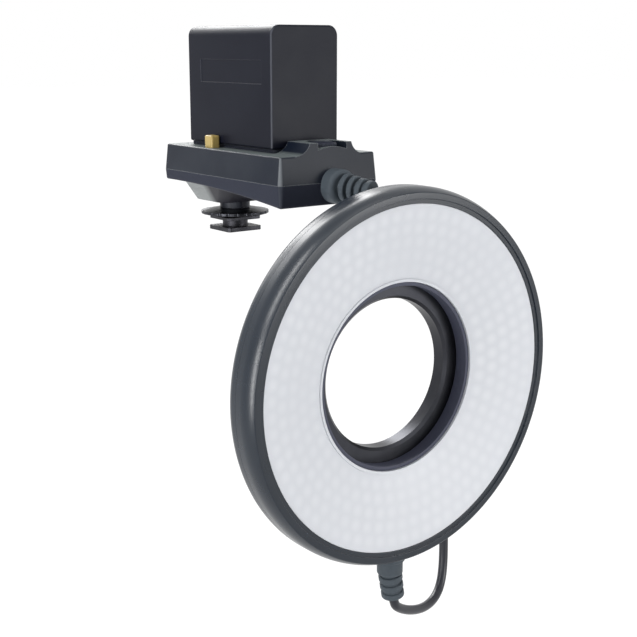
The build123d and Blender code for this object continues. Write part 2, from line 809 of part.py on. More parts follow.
def unit_upper_case():
    """Upper case: drafted shell, hump with the dial's well, button hole and screw posts."""
    shell = unit_prism(deck_height, unit_draft)
    shell = fillet(shell.faces().sort_by(Axis.Z)[-1].edges(), deck_edge_round)
    tall = unit_prism(deck_height + hump_height, unit_draft)
    hump_blank = extrude(Plane.XZ * hump_outline(), amount=-hump_back_y)
    hump = hump_blank & tall
    shell = shell + hump
    hollow = unit_prism(deck_height - case_wall, unit_draft, case_wall, unit_inner_corner)
    shell = shell - hollow
    well_r = dial_r + dial_well_gap
    shell = shell - post(dial_x, dial_y, well_z, hump_z + 1, well_r)
    arch_r = (arch_half_width ** 2 + arch_rise ** 2) / (2 * arch_rise)
    arch_cut = block(dial_x - arch_half_width, dial_x + arch_half_width, unit_front_y - 1, dial_y,
                     hump_z - arch_drop - arch_rise, hump_z + 1)
    arch_keep = rod_y(dial_x, hump_z - arch_drop - arch_r, unit_front_y - 2, dial_y + 1, arch_r)
    shell = shell - (arch_cut - arch_keep)
    room_front = dial_y - dial_r
    shell = shell - block(dial_x - dial_r, dial_x + dial_r, room_front, dial_y + dial_r,
                          deck_under_z - 1, well_z - case_wall)
    shell = shell - post(dial_x, dial_y, deck_under_z, well_z + 1, shaft_r + slide_gap * 2)
    half_x = button_width / 2 + button_gap
    half_y = button_length / 2 + button_gap
    shell = shell - block(button_x - half_x, button_x + half_x, button_y - half_y, button_y + half_y,
                          deck_under_z - 1, deck_z + 1)
    half_t = tooth_width / 2 + button_gap
    half_a = arm_width / 2 + button_gap
    shell = shell - block(tooth_x - half_t, tooth_x + half_t, button_y - half_a, button_y + half_a,
                          deck_under_z - 1, deck_z + 1)
    for x, y in case_screw_places():
        shell = shell + post(x, y, floor_at(y) + slide_gap * 2, deck_under_z + fit_gap, case_post_r)
        shell = shell - post(x, y, floor_at(y), floor_at(y) + case_screw_length, screw_r + fit_gap / 2)
    for x, y in plate_screw_places():
        shell = shell - post(x, y, deck_under_z - 1, deck_z + 1, screw_hole_r)
    return shell - relief_hole()


def unit_lower_case():
    """Lower case: drafted tray with posts for the board, the spring and the screws."""
    deep = lower_front_height + 1
    tray = unit_prism(-deep, lower_draft) & above_bottom(0, parting_z + 1)
    tray = fillet(tray.faces().sort_by(Axis.Z)[0].edges(), lower_edge_round)
    tray = tray - (unit_prism(-deep, lower_draft, case_wall, unit_inner_corner)
                   & above_bottom(case_wall, parting_z + 1))
    for x, y in board_screw_places():
        tray = tray + post(x, y, floor_at(y) - case_wall / 2, board_z, board_post_r)
        tray = tray - post(x, y, board_z - board_screw_bite - 1, board_z, screw_r + fit_gap / 2)
    spring_seat = deck_under_z - button_gap - arm_wall - spring_length
    seat_r = spring_r + spring_wire_r + fit_gap * 2
    tray = tray + post(button_x, button_y, floor_at(button_y) - case_wall / 2, spring_seat, seat_r)
    for x, y in case_screw_places():
        tray = tray - post(x, y, bottom_at(y) - 1, floor_at(y) + 1, screw_hole_r)
        tray = tray - post(x, y, bottom_at(y) - 1, bottom_at(y) + screw_head_height,
                           screw_head_r + fit_gap)
    for x in (-boss_screw_x, -stem_screw_x, stem_screw_x, boss_screw_x):
        tray = tray - post(x, shoe_y, boss_bottom_z, floor_at(shoe_y) + 1, screw_hole_r)
    return tray - relief_hole()


def upright_screw(x, y, seat, length, up):
    """A pan head screw; up is 1 where the shank points up, -1 where it points down."""
    top = seat - up * screw_head_height
    start = seat - up * fit_gap
    tip = seat + up * length
    head = post(x, y, min(seat, top), max(seat, top), screw_head_r)
    return head + post(x, y, min(start, tip), max(start, tip), screw_r)


def case_screws():
    """Four screws from below."""
    return Compound([upright_screw(x, y, bottom_at(y) + screw_head_height, case_screw_length, 1)
                     for x, y in case_screw_places()])


def unit_circuit_board():
    """Driver board on four posts of the lower case."""
    half = board_width / 2
    board = block(-half, half, board_front_y, board_front_y + board_length, board_z, board_top_z)
    for x, y in board_screw_places():
        board = board - post(x, y, board_z - 1, board_top_z + 1, screw_hole_r)
    return board


def board_screws():
    """Four screws of the driver board."""
    length = board_thick + board_screw_bite
    return Compound([upright_screw(x, y, board_top_z, length, -1) for x, y in board_screw_places()])


def on_board(x, back, width, length, height):
    """A block on the driver board, centred at a distance behind its front edge."""
    y = board_front_y + back
    return block(x - width / 2, x + width / 2, y - length / 2, y + length / 2,
                 board_top_z, board_top_z + height)


def board_components():
    """Driver parts on the board: coil, two capacitors, chip, heat sink and plug."""
    coil = on_board(coil_x, coil_back, coil_base, coil_base, coil_height / 4)
    coil = coil + post(coil_x, board_front_y + coil_back, board_top_z, board_top_z + coil_height, coil_r)
    caps = [post(cap_x, board_front_y + cap_back + k * cap_pitch, board_top_z,
                 board_top_z + cap_height, cap_r) for k in (0, 1)]
    chip = on_board(0, chip_back, chip_size, chip_size, chip_height)
    sink = on_board(sink_x, sink_back, sink_width, sink_length, sink_height)
    plug = on_board(0, plug_back, plug_width, plug_length, plug_height)
    return Compound([coil] + caps + [chip, sink, plug])


def dimmer_potentiometer():
    """Turning resistor under the dial."""
    half_x = pot_width / 2
    half_y = pot_length / 2
    body = block(dial_x - half_x, dial_x + half_x, dial_y - half_y, dial_y + half_y,
                 board_top_z, board_top_z + pot_height)
    return body - post(dial_x, dial_y, board_top_z + pot_floor,
                       board_top_z + pot_height + 1, shaft_r + turn_gap)


def dial_shaft():
    """Shaft from the potentiometer up into the dial."""
    low = board_top_z + shaft_foot
    return post(dial_x, dial_y, low, low + shaft_length, shaft_r)


def brightness_dial():
    """Fluted thumb dial that lies in the hump's well."""
    low = well_z + slide_gap
    dial = post(dial_x, dial_y, low, low + dial_height, dial_r)
    dial = chamfer(dial.edges().sort_by(Axis.Z)[-1], dial_bevel)
    flute_circle_r = dial_r + dial_flute_r - dial_flute_bite
    for k in range(dial_flutes):
        a = 2 * math.pi * k / dial_flutes
        x = dial_x + flute_circle_r * math.cos(a)
        y = dial_y + flute_circle_r * math.sin(a)
        dial = dial - post(x, y, low - 1, low + dial_height + 1, dial_flute_r)
    top = board_top_z + shaft_foot + shaft_length
    return dial - post(dial_x, dial_y, low - 1, top + fit_gap, shaft_r + fit_gap / 2)


def release_button():
    """Domed button beside the pack, with an arm and a catch tooth under the deck."""
    top = deck_z + button_above
    arm_top = deck_under_z - button_gap
    half_x = button_width / 2
    half_y = button_length / 2
    cap = block(button_x - half_x, button_x + half_x, button_y - half_y, button_y + half_y, arm_top - 1, top)
    cap = fillet(cap.edges().filter_by(Axis.Z), button_round)
    cap = fillet(cap.faces().sort_by(Axis.Z)[-1].edges(), button_top_round)
    half_a = arm_width / 2
    arm = block(button_x - half_x + fit_gap, tooth_x + tooth_width / 2, button_y - half_a, button_y + half_a,
                arm_top - arm_wall, arm_top)
    shelf = block(button_x - half_x, button_x + half_x, button_y - half_y - button_shelf,
                  button_y + half_y + button_shelf, arm_top - arm_wall, arm_top)
    tooth = block(tooth_x - tooth_width / 2, tooth_x + tooth_width / 2, button_y - half_a, button_y + half_a,
                  arm_top - 1, plate_top_z)
    return cap + arm + shelf + tooth


def release_spring():
    """Coil spring between the lower case's post and the button's arm."""
    top = deck_under_z - button_gap - arm_wall
    low = top - spring_length
    rise = spring_length - 2 * spring_wire_r - 0.1
    path = Helix(pitch=rise / spring_turns, height=rise, radius=spring_r)
    section = Plane(origin=path @ 0, z_dir=path % 0) * Circle(spring_wire_r)
    coil = sweep(section, path)
    return Pos(button_x, button_y, low + spring_wire_r + 0.05) * coil


def plate_screw_places():
    """Where the battery plate is screwed to the deck."""
    near = plate_front_y + plate_screw_front
    far = plate_front_y + plate_length - plate_screw_back
    return [(x, y) for x in (-plate_screw_x, plate_screw_x) for y in (near, far)]


def battery_plate():
    """Plate on the deck with undercut lugs for the pack and a contact block."""
    mid_y = plate_front_y + plate_length / 2
    plan = Plane(origin=(0, mid_y, deck_z)) * RectangleRounded(plate_width, plate_length, plate_corner)
    plate = extrude(plan, amount=plate_height)
    for side in (-1, 1):
        for k in range(lug_count):
            y = lug_first_y + k * lug_pitch
            inner = side * lug_inner_x
            stem = sorted((inner, inner + side * lug_stem))
            head = sorted((inner, inner + side * lug_head))
            head_z = plate_top_z + lug_stem_height
            plate = plate + block(*stem, y, y + lug_length, plate_top_z - fit_gap, head_z + fit_gap)
            plate = plate + block(*head, y, y + lug_length, head_z, head_z + lug_head_height)
    half = contact_block_width / 2
    plate = plate + block(-half, half, plate_front_y + contact_block_inset, blade_front_y,
                          plate_top_z - fit_gap, plate_top_z + contact_block_height)
    half_t = tooth_width / 2 + button_gap
    half_a = arm_width / 2 + button_gap
    plate = plate - block(tooth_x - half_t, tooth_x + half_t, button_y - half_a, button_y + half_a,
                          deck_z - 1, plate_top_z + 1)
    for x, y in plate_screw_places():
        plate = plate - post(x, y, deck_z - 1, plate_top_z - plate_skin, screw_r + fit_gap / 2)
    return plate


def plate_screws():
    """Screws from inside the upper case into the battery plate."""
    length = case_wall + plate_height - 2 * plate_skin
    return Compound([upright_screw(x, y, deck_under_z, length, 1) for x, y in plate_screw_places()])


def contact_blades():
    """Three sprung contact blades of the unit."""
    low = plate_top_z + contact_block_height / 2
    start = blade_front_y
    blades = []
    for k in range(blade_count):
        x = (k - (blade_count - 1) / 2) * blade_pitch
        blades.append(block(x - blade_width / 2, x + blade_width / 2, start, start + blade_length,
                            low, low + blade_wall))
    return Compound(blades)


foot_screw_tip_z = floor_at(shoe_y + screw_head_r) - foot_screw_length


def shoe_boss():
    """Tapered block under the lower case that carries the shoe's stem."""
    low_plane = Plane(origin=(0, shoe_y + boss_bottom_shift, boss_bottom_z))
    high_plane = Plane(origin=(0, shoe_y + boss_top_shift, boss_bottom_z + boss_height))
    low = low_plane * RectangleRounded(*boss_bottom, boss_round)
    high = high_plane * RectangleRounded(*boss_top, boss_round + 1)
    boss = loft([low.face(), high.face()], ruled=True)
    boss = boss - above_bottom(-fit_gap / 2, parting_z)
    boss = boss - post(0, shoe_y, boss_bottom_z - 1, parting_z, stem_r + fit_gap / 2)
    for x in (-boss_screw_x, boss_screw_x):
        boss = boss - post(x, shoe_y, foot_screw_tip_z - fit_gap, parting_z, screw_r + fit_gap / 2)
    return boss


def shoe_collar():
    """Black spacer round the stem between the boss and the lock wheel."""
    sleeve = post(0, shoe_y, collar_bottom_z, boss_bottom_z, collar_r)
    return sleeve - post(0, shoe_y, collar_bottom_z - 1, boss_bottom_z + 1, stem_r + fit_gap / 2)


def shoe_foot():
    """Foot plate for the accessory shoe, in one with its stem."""
    plate = block(-foot_width / 2, foot_width / 2, shoe_y - foot_length / 2, shoe_y + foot_length / 2,
                  foot_bottom_z, foot_top_z)
    plate = chamfer(plate.edges().filter_by(Axis.Z), 1.0)
    foot = plate + post(0, shoe_y, foot_bottom_z + 1, bottom_at(shoe_y - stem_r), stem_r)
    for x in (-stem_screw_x, stem_screw_x):
        foot = foot - post(x, shoe_y, foot_screw_tip_z - fit_gap, parting_z, screw_r + fit_gap / 2)
    return foot


def foot_screws():
    """Four equal screws that hold the stem and the boss to the lower case."""
    places = (-boss_screw_x, -stem_screw_x, stem_screw_x, boss_screw_x)
    seat = floor_at(shoe_y + screw_head_r)
    return Compound([upright_screw(x, shoe_y, seat, foot_screw_length, -1) for x in places])


def lock_wheel():
    """Bevelled wheel with notches that runs on the stem's thread."""
    mid = wheel_bottom_z + wheel_height / 2
    bore = stem_r + turn_gap
    outline = Polyline(
        (bore, wheel_bottom_z),
        (wheel_hub_r, wheel_bottom_z),
        (wheel_r, mid - wheel_edge),
        (wheel_r, mid + wheel_edge),
        (wheel_hub_r, wheel_top_z),
        (bore, wheel_top_z),
        close=True,
    )
    wheel = revolve(make_face(Plane.XZ * outline), Axis.Z)
    for k in range(wheel_notches):
        a = 2 * math.pi * k / wheel_notches
        r = wheel_r + wheel_notch_r * 0.5
        wheel = wheel - post(r * math.cos(a), r * math.sin(a), wheel_bottom_z - 1, wheel_top_z + 1,
                             wheel_notch_r)
    return Pos(0, shoe_y, 0) * wheel


def pressure_plate():
    """Flat plate under the wheel that bears on the camera's shoe rails."""
    plate = block(-foot_width / 2, foot_width / 2, shoe_y - foot_length / 2, shoe_y + foot_length / 2,
                  plate_bottom_z, plate_bottom_z + plate_wall)
    plate = chamfer(plate.edges().filter_by(Axis.Z), 1.5)
    return plate - post(0, shoe_y, plate_bottom_z - 1, plate_bottom_z + plate_wall + 1, stem_r + slide_gap)


def pack_outline(inset, low, top_z):
    """Cross-section of the pack: rounded upper corners, nearly square lower ones."""
    half = pack_width / 2 - inset
    top_r = pack_top_round - inset
    low_r = pack_bottom_round if inset == 0 else 0.3
    left_top = CenterArc((-half + top_r, top_z - top_r), top_r, 90, 90)
    right_top = CenterArc((half - top_r, top_z - top_r), top_r, 0, 90)
    left_low = CenterArc((-half + low_r, low + low_r), low_r, 180, 90)
    right_low = CenterArc((half - low_r, low + low_r), low_r, 270, 90)
    return make_face([
        right_top, Line(right_top @ 1, left_top @ 0), left_top, Line(left_top @ 1, left_low @ 0),
        left_low, Line(left_low @ 1, right_low @ 0), right_low, Line(right_low @ 1, right_top @ 0),
    ])


def pack_case():
    """Battery pack's case: one long section with soft edges, open below."""
    section = Plane.XZ * pack_outline(0, pack_bottom_z, pack_top_z)
    body = Pos(0, pack_front_y, 0) * extrude(section, amount=-pack_length)
    ends = body.faces().sort_by(Axis.Y)
    body = fillet(ends[0].edges() + ends[-1].edges(), pack_end_round)
    inside = Plane.XZ * pack_outline(pack_wall, pack_bottom_z - 5, pack_top_z - pack_wall)
    room = pack_length - 2 * pack_wall
    body = body - Pos(0, pack_front_y + pack_wall, 0) * extrude(inside, amount=-room)
    half = pack_width / 2
    label_y = pack_front_y + label_from_front
    for side in (-1, 1):
        skin = sorted((side * (half - label_depth), side * (half + 1)))
        body = body - block(*skin, label_y, label_y + label_length,
                            label_z - label_height / 2, label_z + label_height / 2)
    notch = contact_block_width / 2 + slide_gap * 2
    return body - block(-notch, notch, pack_front_y - 1, pack_front_y + pack_wall + 1,
                        pack_bottom_z - 1, plate_top_z + contact_block_height + slide_gap)


def pack_base():
    """Base of the pack with grooves for the lugs, entry notches and a contact recess."""
    half = pack_width / 2 - pack_wall - fit_gap
    front = pack_front_y + pack_wall + fit_gap
    back = pack_inner_back_y - fit_gap
    base = block(-half, half, front, back, pack_bottom_z, base_top_z)
    lip_top = plate_top_z + lug_stem_height - slide_gap
    roof = plate_top_z + lug_stem_height + lug_head_height + slide_gap + fit_gap
    groove_front = front - 1
    groove_back = lug_first_y + (lug_count - 1) * lug_pitch + lug_length + slide_gap
    for side in (-1, 1):
        inner = side * (lug_inner_x - slide_gap)
        stem = sorted((inner, side * (lug_inner_x + lug_stem + slide_gap)))
        head = sorted((inner, side * (lug_inner_x + lug_head + slide_gap)))
        base = base - block(*stem, groove_front, groove_back, pack_bottom_z - 1, roof)
        base = base - block(*head, groove_front, groove_back, lip_top, roof)
        for k in range(lug_count):
            y = lug_first_y + k * lug_pitch - pack_travel
            base = base - block(*head, y - slide_gap, y + lug_length + slide_gap, pack_bottom_z - 1, roof)
    recess = contact_block_width / 2 + slide_gap * 2
    recess_back = blade_front_y + blade_length + blade_room
    base = base - block(-recess, recess, groove_front, recess_back,
                        pack_bottom_z - 1, plate_top_z + contact_block_height + slide_gap)
    for x in (-pack_screw_x, pack_screw_x):
        base = base - post(x, pack_screw_y, pack_bottom_z - 1, base_top_z + 1, screw_hole_r)
        base = base - post(x, pack_screw_y, pack_bottom_z - 1, pack_bottom_z + screw_head_height,
                           screw_head_r + fit_gap)
    return base


def pack_terminals():
    """Three terminals at the back of the pack's contact recess."""
    low = plate_top_z + contact_block_height / 2 - terminal_wall
    face = blade_front_y + blade_length + blade_room
    pads = []
    for k in range(blade_count):
        x = (k - (blade_count - 1) / 2) * blade_pitch
        pads.append(block(x - blade_width, x + blade_width, face - terminal_wall, face,
                          low, low + terminal_height))
    return Compound(pads)


def pack_cradle():
    """Bed under the six cells, into which the base is screwed."""
    half = pack_width / 2 - pack_wall - cradle_gap / 2
    bed = block(-half, half, cells_room_y, pack_inner_back_y - cradle_gap, bed_z, cells_z)
    for x in (-pack_screw_x, pack_screw_x):
        bed = bed - post(x, pack_screw_y, bed_z - 1, cells_z + 1, screw_r + fit_gap / 2)
    return bed


def cell_places():
    """Centres of the six cells seen from the front."""
    pitch_x = 2 * cell_r + cell_gap
    first_z = cells_z + cell_gap / 2 + cell_r
    return [((c - (cell_columns - 1) / 2) * pitch_x, first_z + layer * (2 * cell_r + cell_gap))
            for c in range(cell_columns) for layer in range(cell_layers)]


def pack_cells():
    """Six round cells, two wide and three high."""
    cells = []
    for x, z in cell_places():
        start = cell_front_y + cell_nub
        cell = rod_y(x, z, start, start + cell_length, cell_r)
        cells.append(cell + rod_y(x, z, cell_front_y, start + 0.1, cell_nub_r))
    return Compound(cells)


def pack_end_board():
    """Board across the front ends of the cells with a strip for each pair."""
    low = cells_z + fit_gap
    high = low + cell_layers * (2 * cell_r + cell_gap) - end_board_drop
    half = cell_columns * (2 * cell_r + cell_gap) / 2
    return block(-half, half, cells_room_y, cells_room_y + end_board, low, high)


def pack_strips():
    """Contact strips on the board, one across each layer."""
    start = cells_room_y + end_board + fit_gap / 2
    half = 2 * cell_r * strip_share
    rise = strip_height / 2
    layers = sorted(set(z for x, z in cell_places()))
    return Compound([block(-half, half, start, start + strip_wall, z - rise, z + rise) for z in layers])


def pack_leaves():
    """Bent leaf springs that press the cells forward from the back wall."""
    behind = cell_front_y + cell_nub + cell_length + fit_gap
    wall = pack_inner_back_y - fit_gap
    half = leaf_width / 2
    leaves = []
    for x, z in cell_places():
        bent = Polyline(
            (wall, z - leaf_rise),
            (wall, z + leaf_rise),
            (behind, z + leaf_tip),
            (behind, z - leaf_tip),
            (behind + strip_wall, z - leaf_tip),
            (behind + strip_wall, z + leaf_tip - strip_wall / 2),
            (wall - strip_wall, z + leaf_rise - strip_wall),
            (wall - strip_wall, z - leaf_rise),
            close=True,
        )
        leaves.append(Pos(x - half, 0, 0) * extrude(Plane.YZ * make_face(bent), amount=leaf_width))
    return Compound(leaves)


def pack_screws():
    """Two screws that hold the base to the cradle."""
    seat = pack_bottom_z + screw_head_height
    length = cells_z - seat - fit_gap * 4
    return Compound([upright_screw(x, pack_screw_y, seat, length, 1) for x in (-pack_screw_x, pack_screw_x)])


pieces = [
    ring_front_bezel, ring_diffuser, ring_aperture_tube, ring_rear_housing, ring_led_board,
    ring_led_lamps, ring_screws, lens_adapter_ring, adapter_retainer, retainer_screws,
    ring_cord_relief, cord, unit_cord_relief,
    unit_upper_case, unit_lower_case, case_screws, unit_circuit_board, board_screws, board_components,
    dimmer_potentiometer, dial_shaft, brightness_dial, release_button, release_spring,
    battery_plate, plate_screws, contact_blades,
    shoe_boss, shoe_collar, shoe_foot, foot_screws, lock_wheel, pressure_plate,
    pack_case, pack_base, pack_terminals, pack_cradle, pack_cells, pack_end_board, pack_strips,
    pack_leaves, pack_screws,
]

for piece in pieces:
    export_step(piece(), "parts/" + piece.__name__ + ".step")
    print("built", piece.__name__)
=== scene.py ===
import math

import bpy
from mathutils import Matrix, Vector


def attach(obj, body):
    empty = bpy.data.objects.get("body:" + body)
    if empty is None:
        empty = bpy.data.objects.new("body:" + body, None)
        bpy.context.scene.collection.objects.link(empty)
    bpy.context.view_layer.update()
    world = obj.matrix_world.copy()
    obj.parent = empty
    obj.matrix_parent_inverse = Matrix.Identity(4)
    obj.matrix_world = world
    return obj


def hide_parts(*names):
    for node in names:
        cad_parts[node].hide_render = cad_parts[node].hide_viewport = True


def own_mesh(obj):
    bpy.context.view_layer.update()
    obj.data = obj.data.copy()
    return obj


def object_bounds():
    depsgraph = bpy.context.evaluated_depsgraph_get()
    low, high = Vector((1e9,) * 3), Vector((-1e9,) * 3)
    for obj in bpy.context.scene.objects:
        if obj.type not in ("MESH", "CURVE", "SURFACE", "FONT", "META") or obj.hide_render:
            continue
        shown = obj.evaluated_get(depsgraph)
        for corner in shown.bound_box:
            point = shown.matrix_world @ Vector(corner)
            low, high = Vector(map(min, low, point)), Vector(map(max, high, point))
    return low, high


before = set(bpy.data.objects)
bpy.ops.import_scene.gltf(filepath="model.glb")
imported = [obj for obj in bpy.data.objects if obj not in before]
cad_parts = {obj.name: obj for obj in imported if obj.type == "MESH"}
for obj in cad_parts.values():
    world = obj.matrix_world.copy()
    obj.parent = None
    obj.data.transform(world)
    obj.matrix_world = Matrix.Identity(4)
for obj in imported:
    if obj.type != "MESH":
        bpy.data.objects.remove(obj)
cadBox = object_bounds()

mm = 0.001
print("frame loaded")


# Camera, at the photograph's viewing angle
cameraView = {
    "place": (-0.3075, -0.3662, 0.1322),
    "heading": 36.85,    # degrees to the right of +Y
    "dip": 12.91,        # degrees below the horizon
    "lens": 67.31,
    "sensor": 36.0,
    "nearest": 0.01,
    "farthest": 30,
}


def placeCamera(view):
    camera = bpy.data.objects.new("photoCamera", bpy.data.cameras.new("photoCamera"))
    bpy.context.scene.collection.objects.link(camera)
    camera.location = view["place"]
    camera.rotation_euler = (math.radians(90 - view["dip"]), 0, math.radians(-view["heading"]))
    camera.data.lens = view["lens"]
    camera.data.sensor_width = view["sensor"]
    camera.data.sensor_fit = "HORIZONTAL"
    camera.data.clip_start = view["nearest"]
    camera.data.clip_end = view["farthest"]
    bpy.context.scene.camera = camera


placeCamera(cameraView)


# Materials
def newMaterial(name):
    material = bpy.data.materials.new(name)
    material.use_nodes = True
    tree = material.node_tree
    coords = tree.nodes.new("ShaderNodeTexCoord")
    return material, tree, tree.nodes["Principled BSDF"], coords.outputs["Object"]


def noise(tree, place, scale, detail=3.0, roughness=0.5):
    node = tree.nodes.new("ShaderNodeTexNoise")
    node.inputs["Scale"].default_value = scale
    node.inputs["Detail"].default_value = detail
    node.inputs["Roughness"].default_value = roughness
    tree.links.new(place, node.inputs["Vector"])
    return node.outputs["Fac"]


def spread(tree, value, low, high, fromLow=0.3, fromHigh=0.7):
    node = tree.nodes.new("ShaderNodeMapRange")
    node.inputs["From Min"].default_value = fromLow
    node.inputs["From Max"].default_value = fromHigh
    node.inputs["To Min"].default_value = low
    node.inputs["To Max"].default_value = high
    tree.links.new(value, node.inputs["Value"])
    return node.outputs["Result"]


def blendColours(tree, value, first, second):
    node = tree.nodes.new("ShaderNodeMix")
    node.data_type = "RGBA"
    for socket, colour in ((node.inputs["A"], first), (node.inputs["B"], second)):
        if isinstance(colour, tuple):
            socket.default_value = (*colour, 1)
        else:
            tree.links.new(colour, socket)
    tree.links.new(value, node.inputs["Factor"])
    return node.outputs["Result"]


def relief(tree, height, depth):
    node = tree.nodes.new("ShaderNodeBump")
    node.inputs["Strength"].default_value = 1.0
    node.inputs["Distance"].default_value = depth
    tree.links.new(height, node.inputs["Height"])
    return node.outputs["Normal"]


def splitAxes(tree, vector):
    node = tree.nodes.new("ShaderNodeSeparateXYZ")
    tree.links.new(vector, node.inputs["Vector"])
    return node.outputs["X"], node.outputs["Y"], node.outputs["Z"]


def mathNode(tree, operation, a, b=None, c=None):
    node = tree.nodes.new("ShaderNodeMath")
    node.operation = operation
    for socket, value in zip(node.inputs, (a, b, c)):
        if value is None:
            continue
        if isinstance(value, (int, float)):
            socket.default_value = value
        else:
            tree.links.new(value, socket)
    return node.outputs["Value"]


# How a moulded surface varies over its edges and faces, and where light and shade are painted on it
mouldingAndPaintedLight = {
    "edgeWidth": 0.0005,
    "edgeSamples": 4,
    "edgeLikeness": (0.80, 0.98),     # from an edge to a flat face
    "cloudScale": 45.0,
    "cloudShare": 0.07,               # the most of the worn colour away from the edges
    # painted light: faces turning up to level are painted paler, as if lit from above
    "paintedTopLightRamp": (0.86, 0.98),         # from a slope to a level face
    # painted highlight: the middles of upright round corners are painted paler, as a sheen
    "paintedCornerSheenRamp": (0.12, 0.42),     # from a flat side to the middle of a round corner
}


def wornEdges(tree):
    # 1 on the edges, where a softened normal leaves the surface's own
    geometry = tree.nodes.new("ShaderNodeNewGeometry")
    softened = tree.nodes.new("ShaderNodeBevel")
    softened.samples = mouldingAndPaintedLight["edgeSamples"]
    softened.inputs["Radius"].default_value = mouldingAndPaintedLight["edgeWidth"]
    likeness = tree.nodes.new("ShaderNodeVectorMath")
    likeness.operation = "DOT_PRODUCT"
    tree.links.new(geometry.outputs["Normal"], likeness.inputs[0])
    tree.links.new(softened.outputs["Normal"], likeness.inputs[1])
    return spread(tree, likeness.outputs["Value"], 1, 0, *mouldingAndPaintedLight["edgeLikeness"])


# One entry for each moulded, rubber or metal finish; the corner, top and front tones in some of them are
# painted light and shade
finishes = {
    "blackShell": {"colour": (0.004, 0.009, 0.017), "worn": (0.020, 0.026, 0.036), "rough": (0.25, 0.30),
                   "gloss": 0.44, "grain": 0.00045, "depth": 0.000002, "slot": "black_plastic"},
    # packShell: a painted highlight on its upright round corners
    "packShell": {"colour": (0.004, 0.005, 0.011), "worn": (0.040, 0.043, 0.054), "rough": (0.32, 0.40),
                  "gloss": 0.10, "grain": 0.00060, "depth": 0.000014, "slot": "black_plastic",
                  "paintedCornerSheen": (0.062, 0.066, 0.080)},
    # blackCase: painted light on its upward faces and a painted highlight on its upright round corners
    "blackCase": {"colour": (0.004, 0.007, 0.015), "worn": (0.150, 0.162, 0.172), "rough": (0.32, 0.40),
                  "gloss": 0.17, "grain": 0.00060, "depth": 0.000016, "slot": "black_plastic",
                  "paintedCornerSheen": (0.120, 0.130, 0.142), "paintedTopLight": (0.130, 0.150, 0.152)},
    # darkCase: a painted highlight on its upright round corners
    "darkCase": {"colour": (0.024, 0.027, 0.040), "worn": (0.060, 0.064, 0.076), "rough": (0.36, 0.46),
                 "gloss": 0.05, "grain": 0.00060, "depth": 0.000016, "slot": "black_plastic",
                 "paintedCornerSheen": (0.036, 0.040, 0.052)},
    "innerWall": {"colour": (0.050, 0.054, 0.082), "worn": (0.064, 0.068, 0.096), "rough": (0.40, 0.55),
                  "gloss": 0.25, "grain": 0.00050, "depth": 0.000010, "slot": "black_plastic"},
    # greyBoss: painted shade darkens it towards the front
    "greyBoss": {"colour": (0.205, 0.218, 0.220), "worn": (0.26, 0.275, 0.28), "rough": (0.42, 0.56),
                 "gloss": 0.35, "grain": 0.00055, "depth": 0.000018, "slot": "grey_plastic",
                 "paintedFrontShade": (0.012, 0.012, 0.018), "frontFrom": 0.1095, "frontTo": 0.1035},
    "amberButton": {"colour": (0.38, 0.28, 0.09), "worn": (0.48, 0.38, 0.17), "rough": (0.28, 0.40),
                    "gloss": 0.45, "grain": 0.00070, "depth": 0.000008, "slot": "amber_plastic"},
    "softRubber": {"colour": (0.050, 0.062, 0.074), "worn": (0.078, 0.092, 0.104), "rough": (0.50, 0.66),
                   "gloss": 0.20, "grain": 0.00035, "depth": 0.000015, "slot": "rubber"},
    "cordJacket": {"colour": (0.011, 0.012, 0.018), "worn": (0.024, 0.026, 0.034), "rough": (0.28, 0.38),
                   "gloss": 0.35, "grain": 0.00040, "depth": 0.000008, "slot": "rubber"},
    "greenBoard": {"colour": (0.020, 0.130, 0.055), "worn": (0.04, 0.20, 0.09), "rough": (0.25, 0.40),
                   "gloss": 0.5, "grain": 0.00080, "depth": 0.000006, "slot": "board"},
    "lampResin": {"colour": (0.86, 0.80, 0.50), "worn": (0.90, 0.87, 0.66), "rough": (0.18, 0.30),
                  "gloss": 0.5, "grain": 0.00100, "depth": 0.000004, "slot": "lamp"},
    "darkPart": {"colour": (0.022, 0.022, 0.026), "worn": (0.05, 0.05, 0.055), "rough": (0.35, 0.5),
                 "gloss": 0.3, "grain": 0.00060, "depth": 0.000008, "slot": "part"},
    "cellWrap": {"colour": (0.05, 0.12, 0.19), "worn": (0.10, 0.18, 0.25), "rough": (0.25, 0.36),
                 "gloss": 0.5, "grain": 0.00150, "depth": 0.000006, "slot": "cell"},
}
metals = {
    "plainSteel": {"colour": (0.52, 0.53, 0.55), "dull": (0.40, 0.41, 0.43), "rough": (0.24, 0.38),
                   "slot": "steel"},
    "blackAnodised": {"colour": (0.036, 0.037, 0.043), "dull": (0.042, 0.043, 0.049), "rough": (0.33, 0.38),
                      "slot": "black_metal"},
    "blackSteel": {"colour": (0.055, 0.055, 0.062), "dull": (0.035, 0.035, 0.040), "rough": (0.34, 0.50),
                   "slot": "dark_steel"},
    "goldContact": {"colour": (0.80, 0.58, 0.25), "dull": (0.62, 0.43, 0.18), "rough": (0.20, 0.32),
                    "slot": "brass"},
}
metalSurface = {"cloudScale": 160.0, "grainScale": 2500.0, "depth": 0.000004}
materials = {}


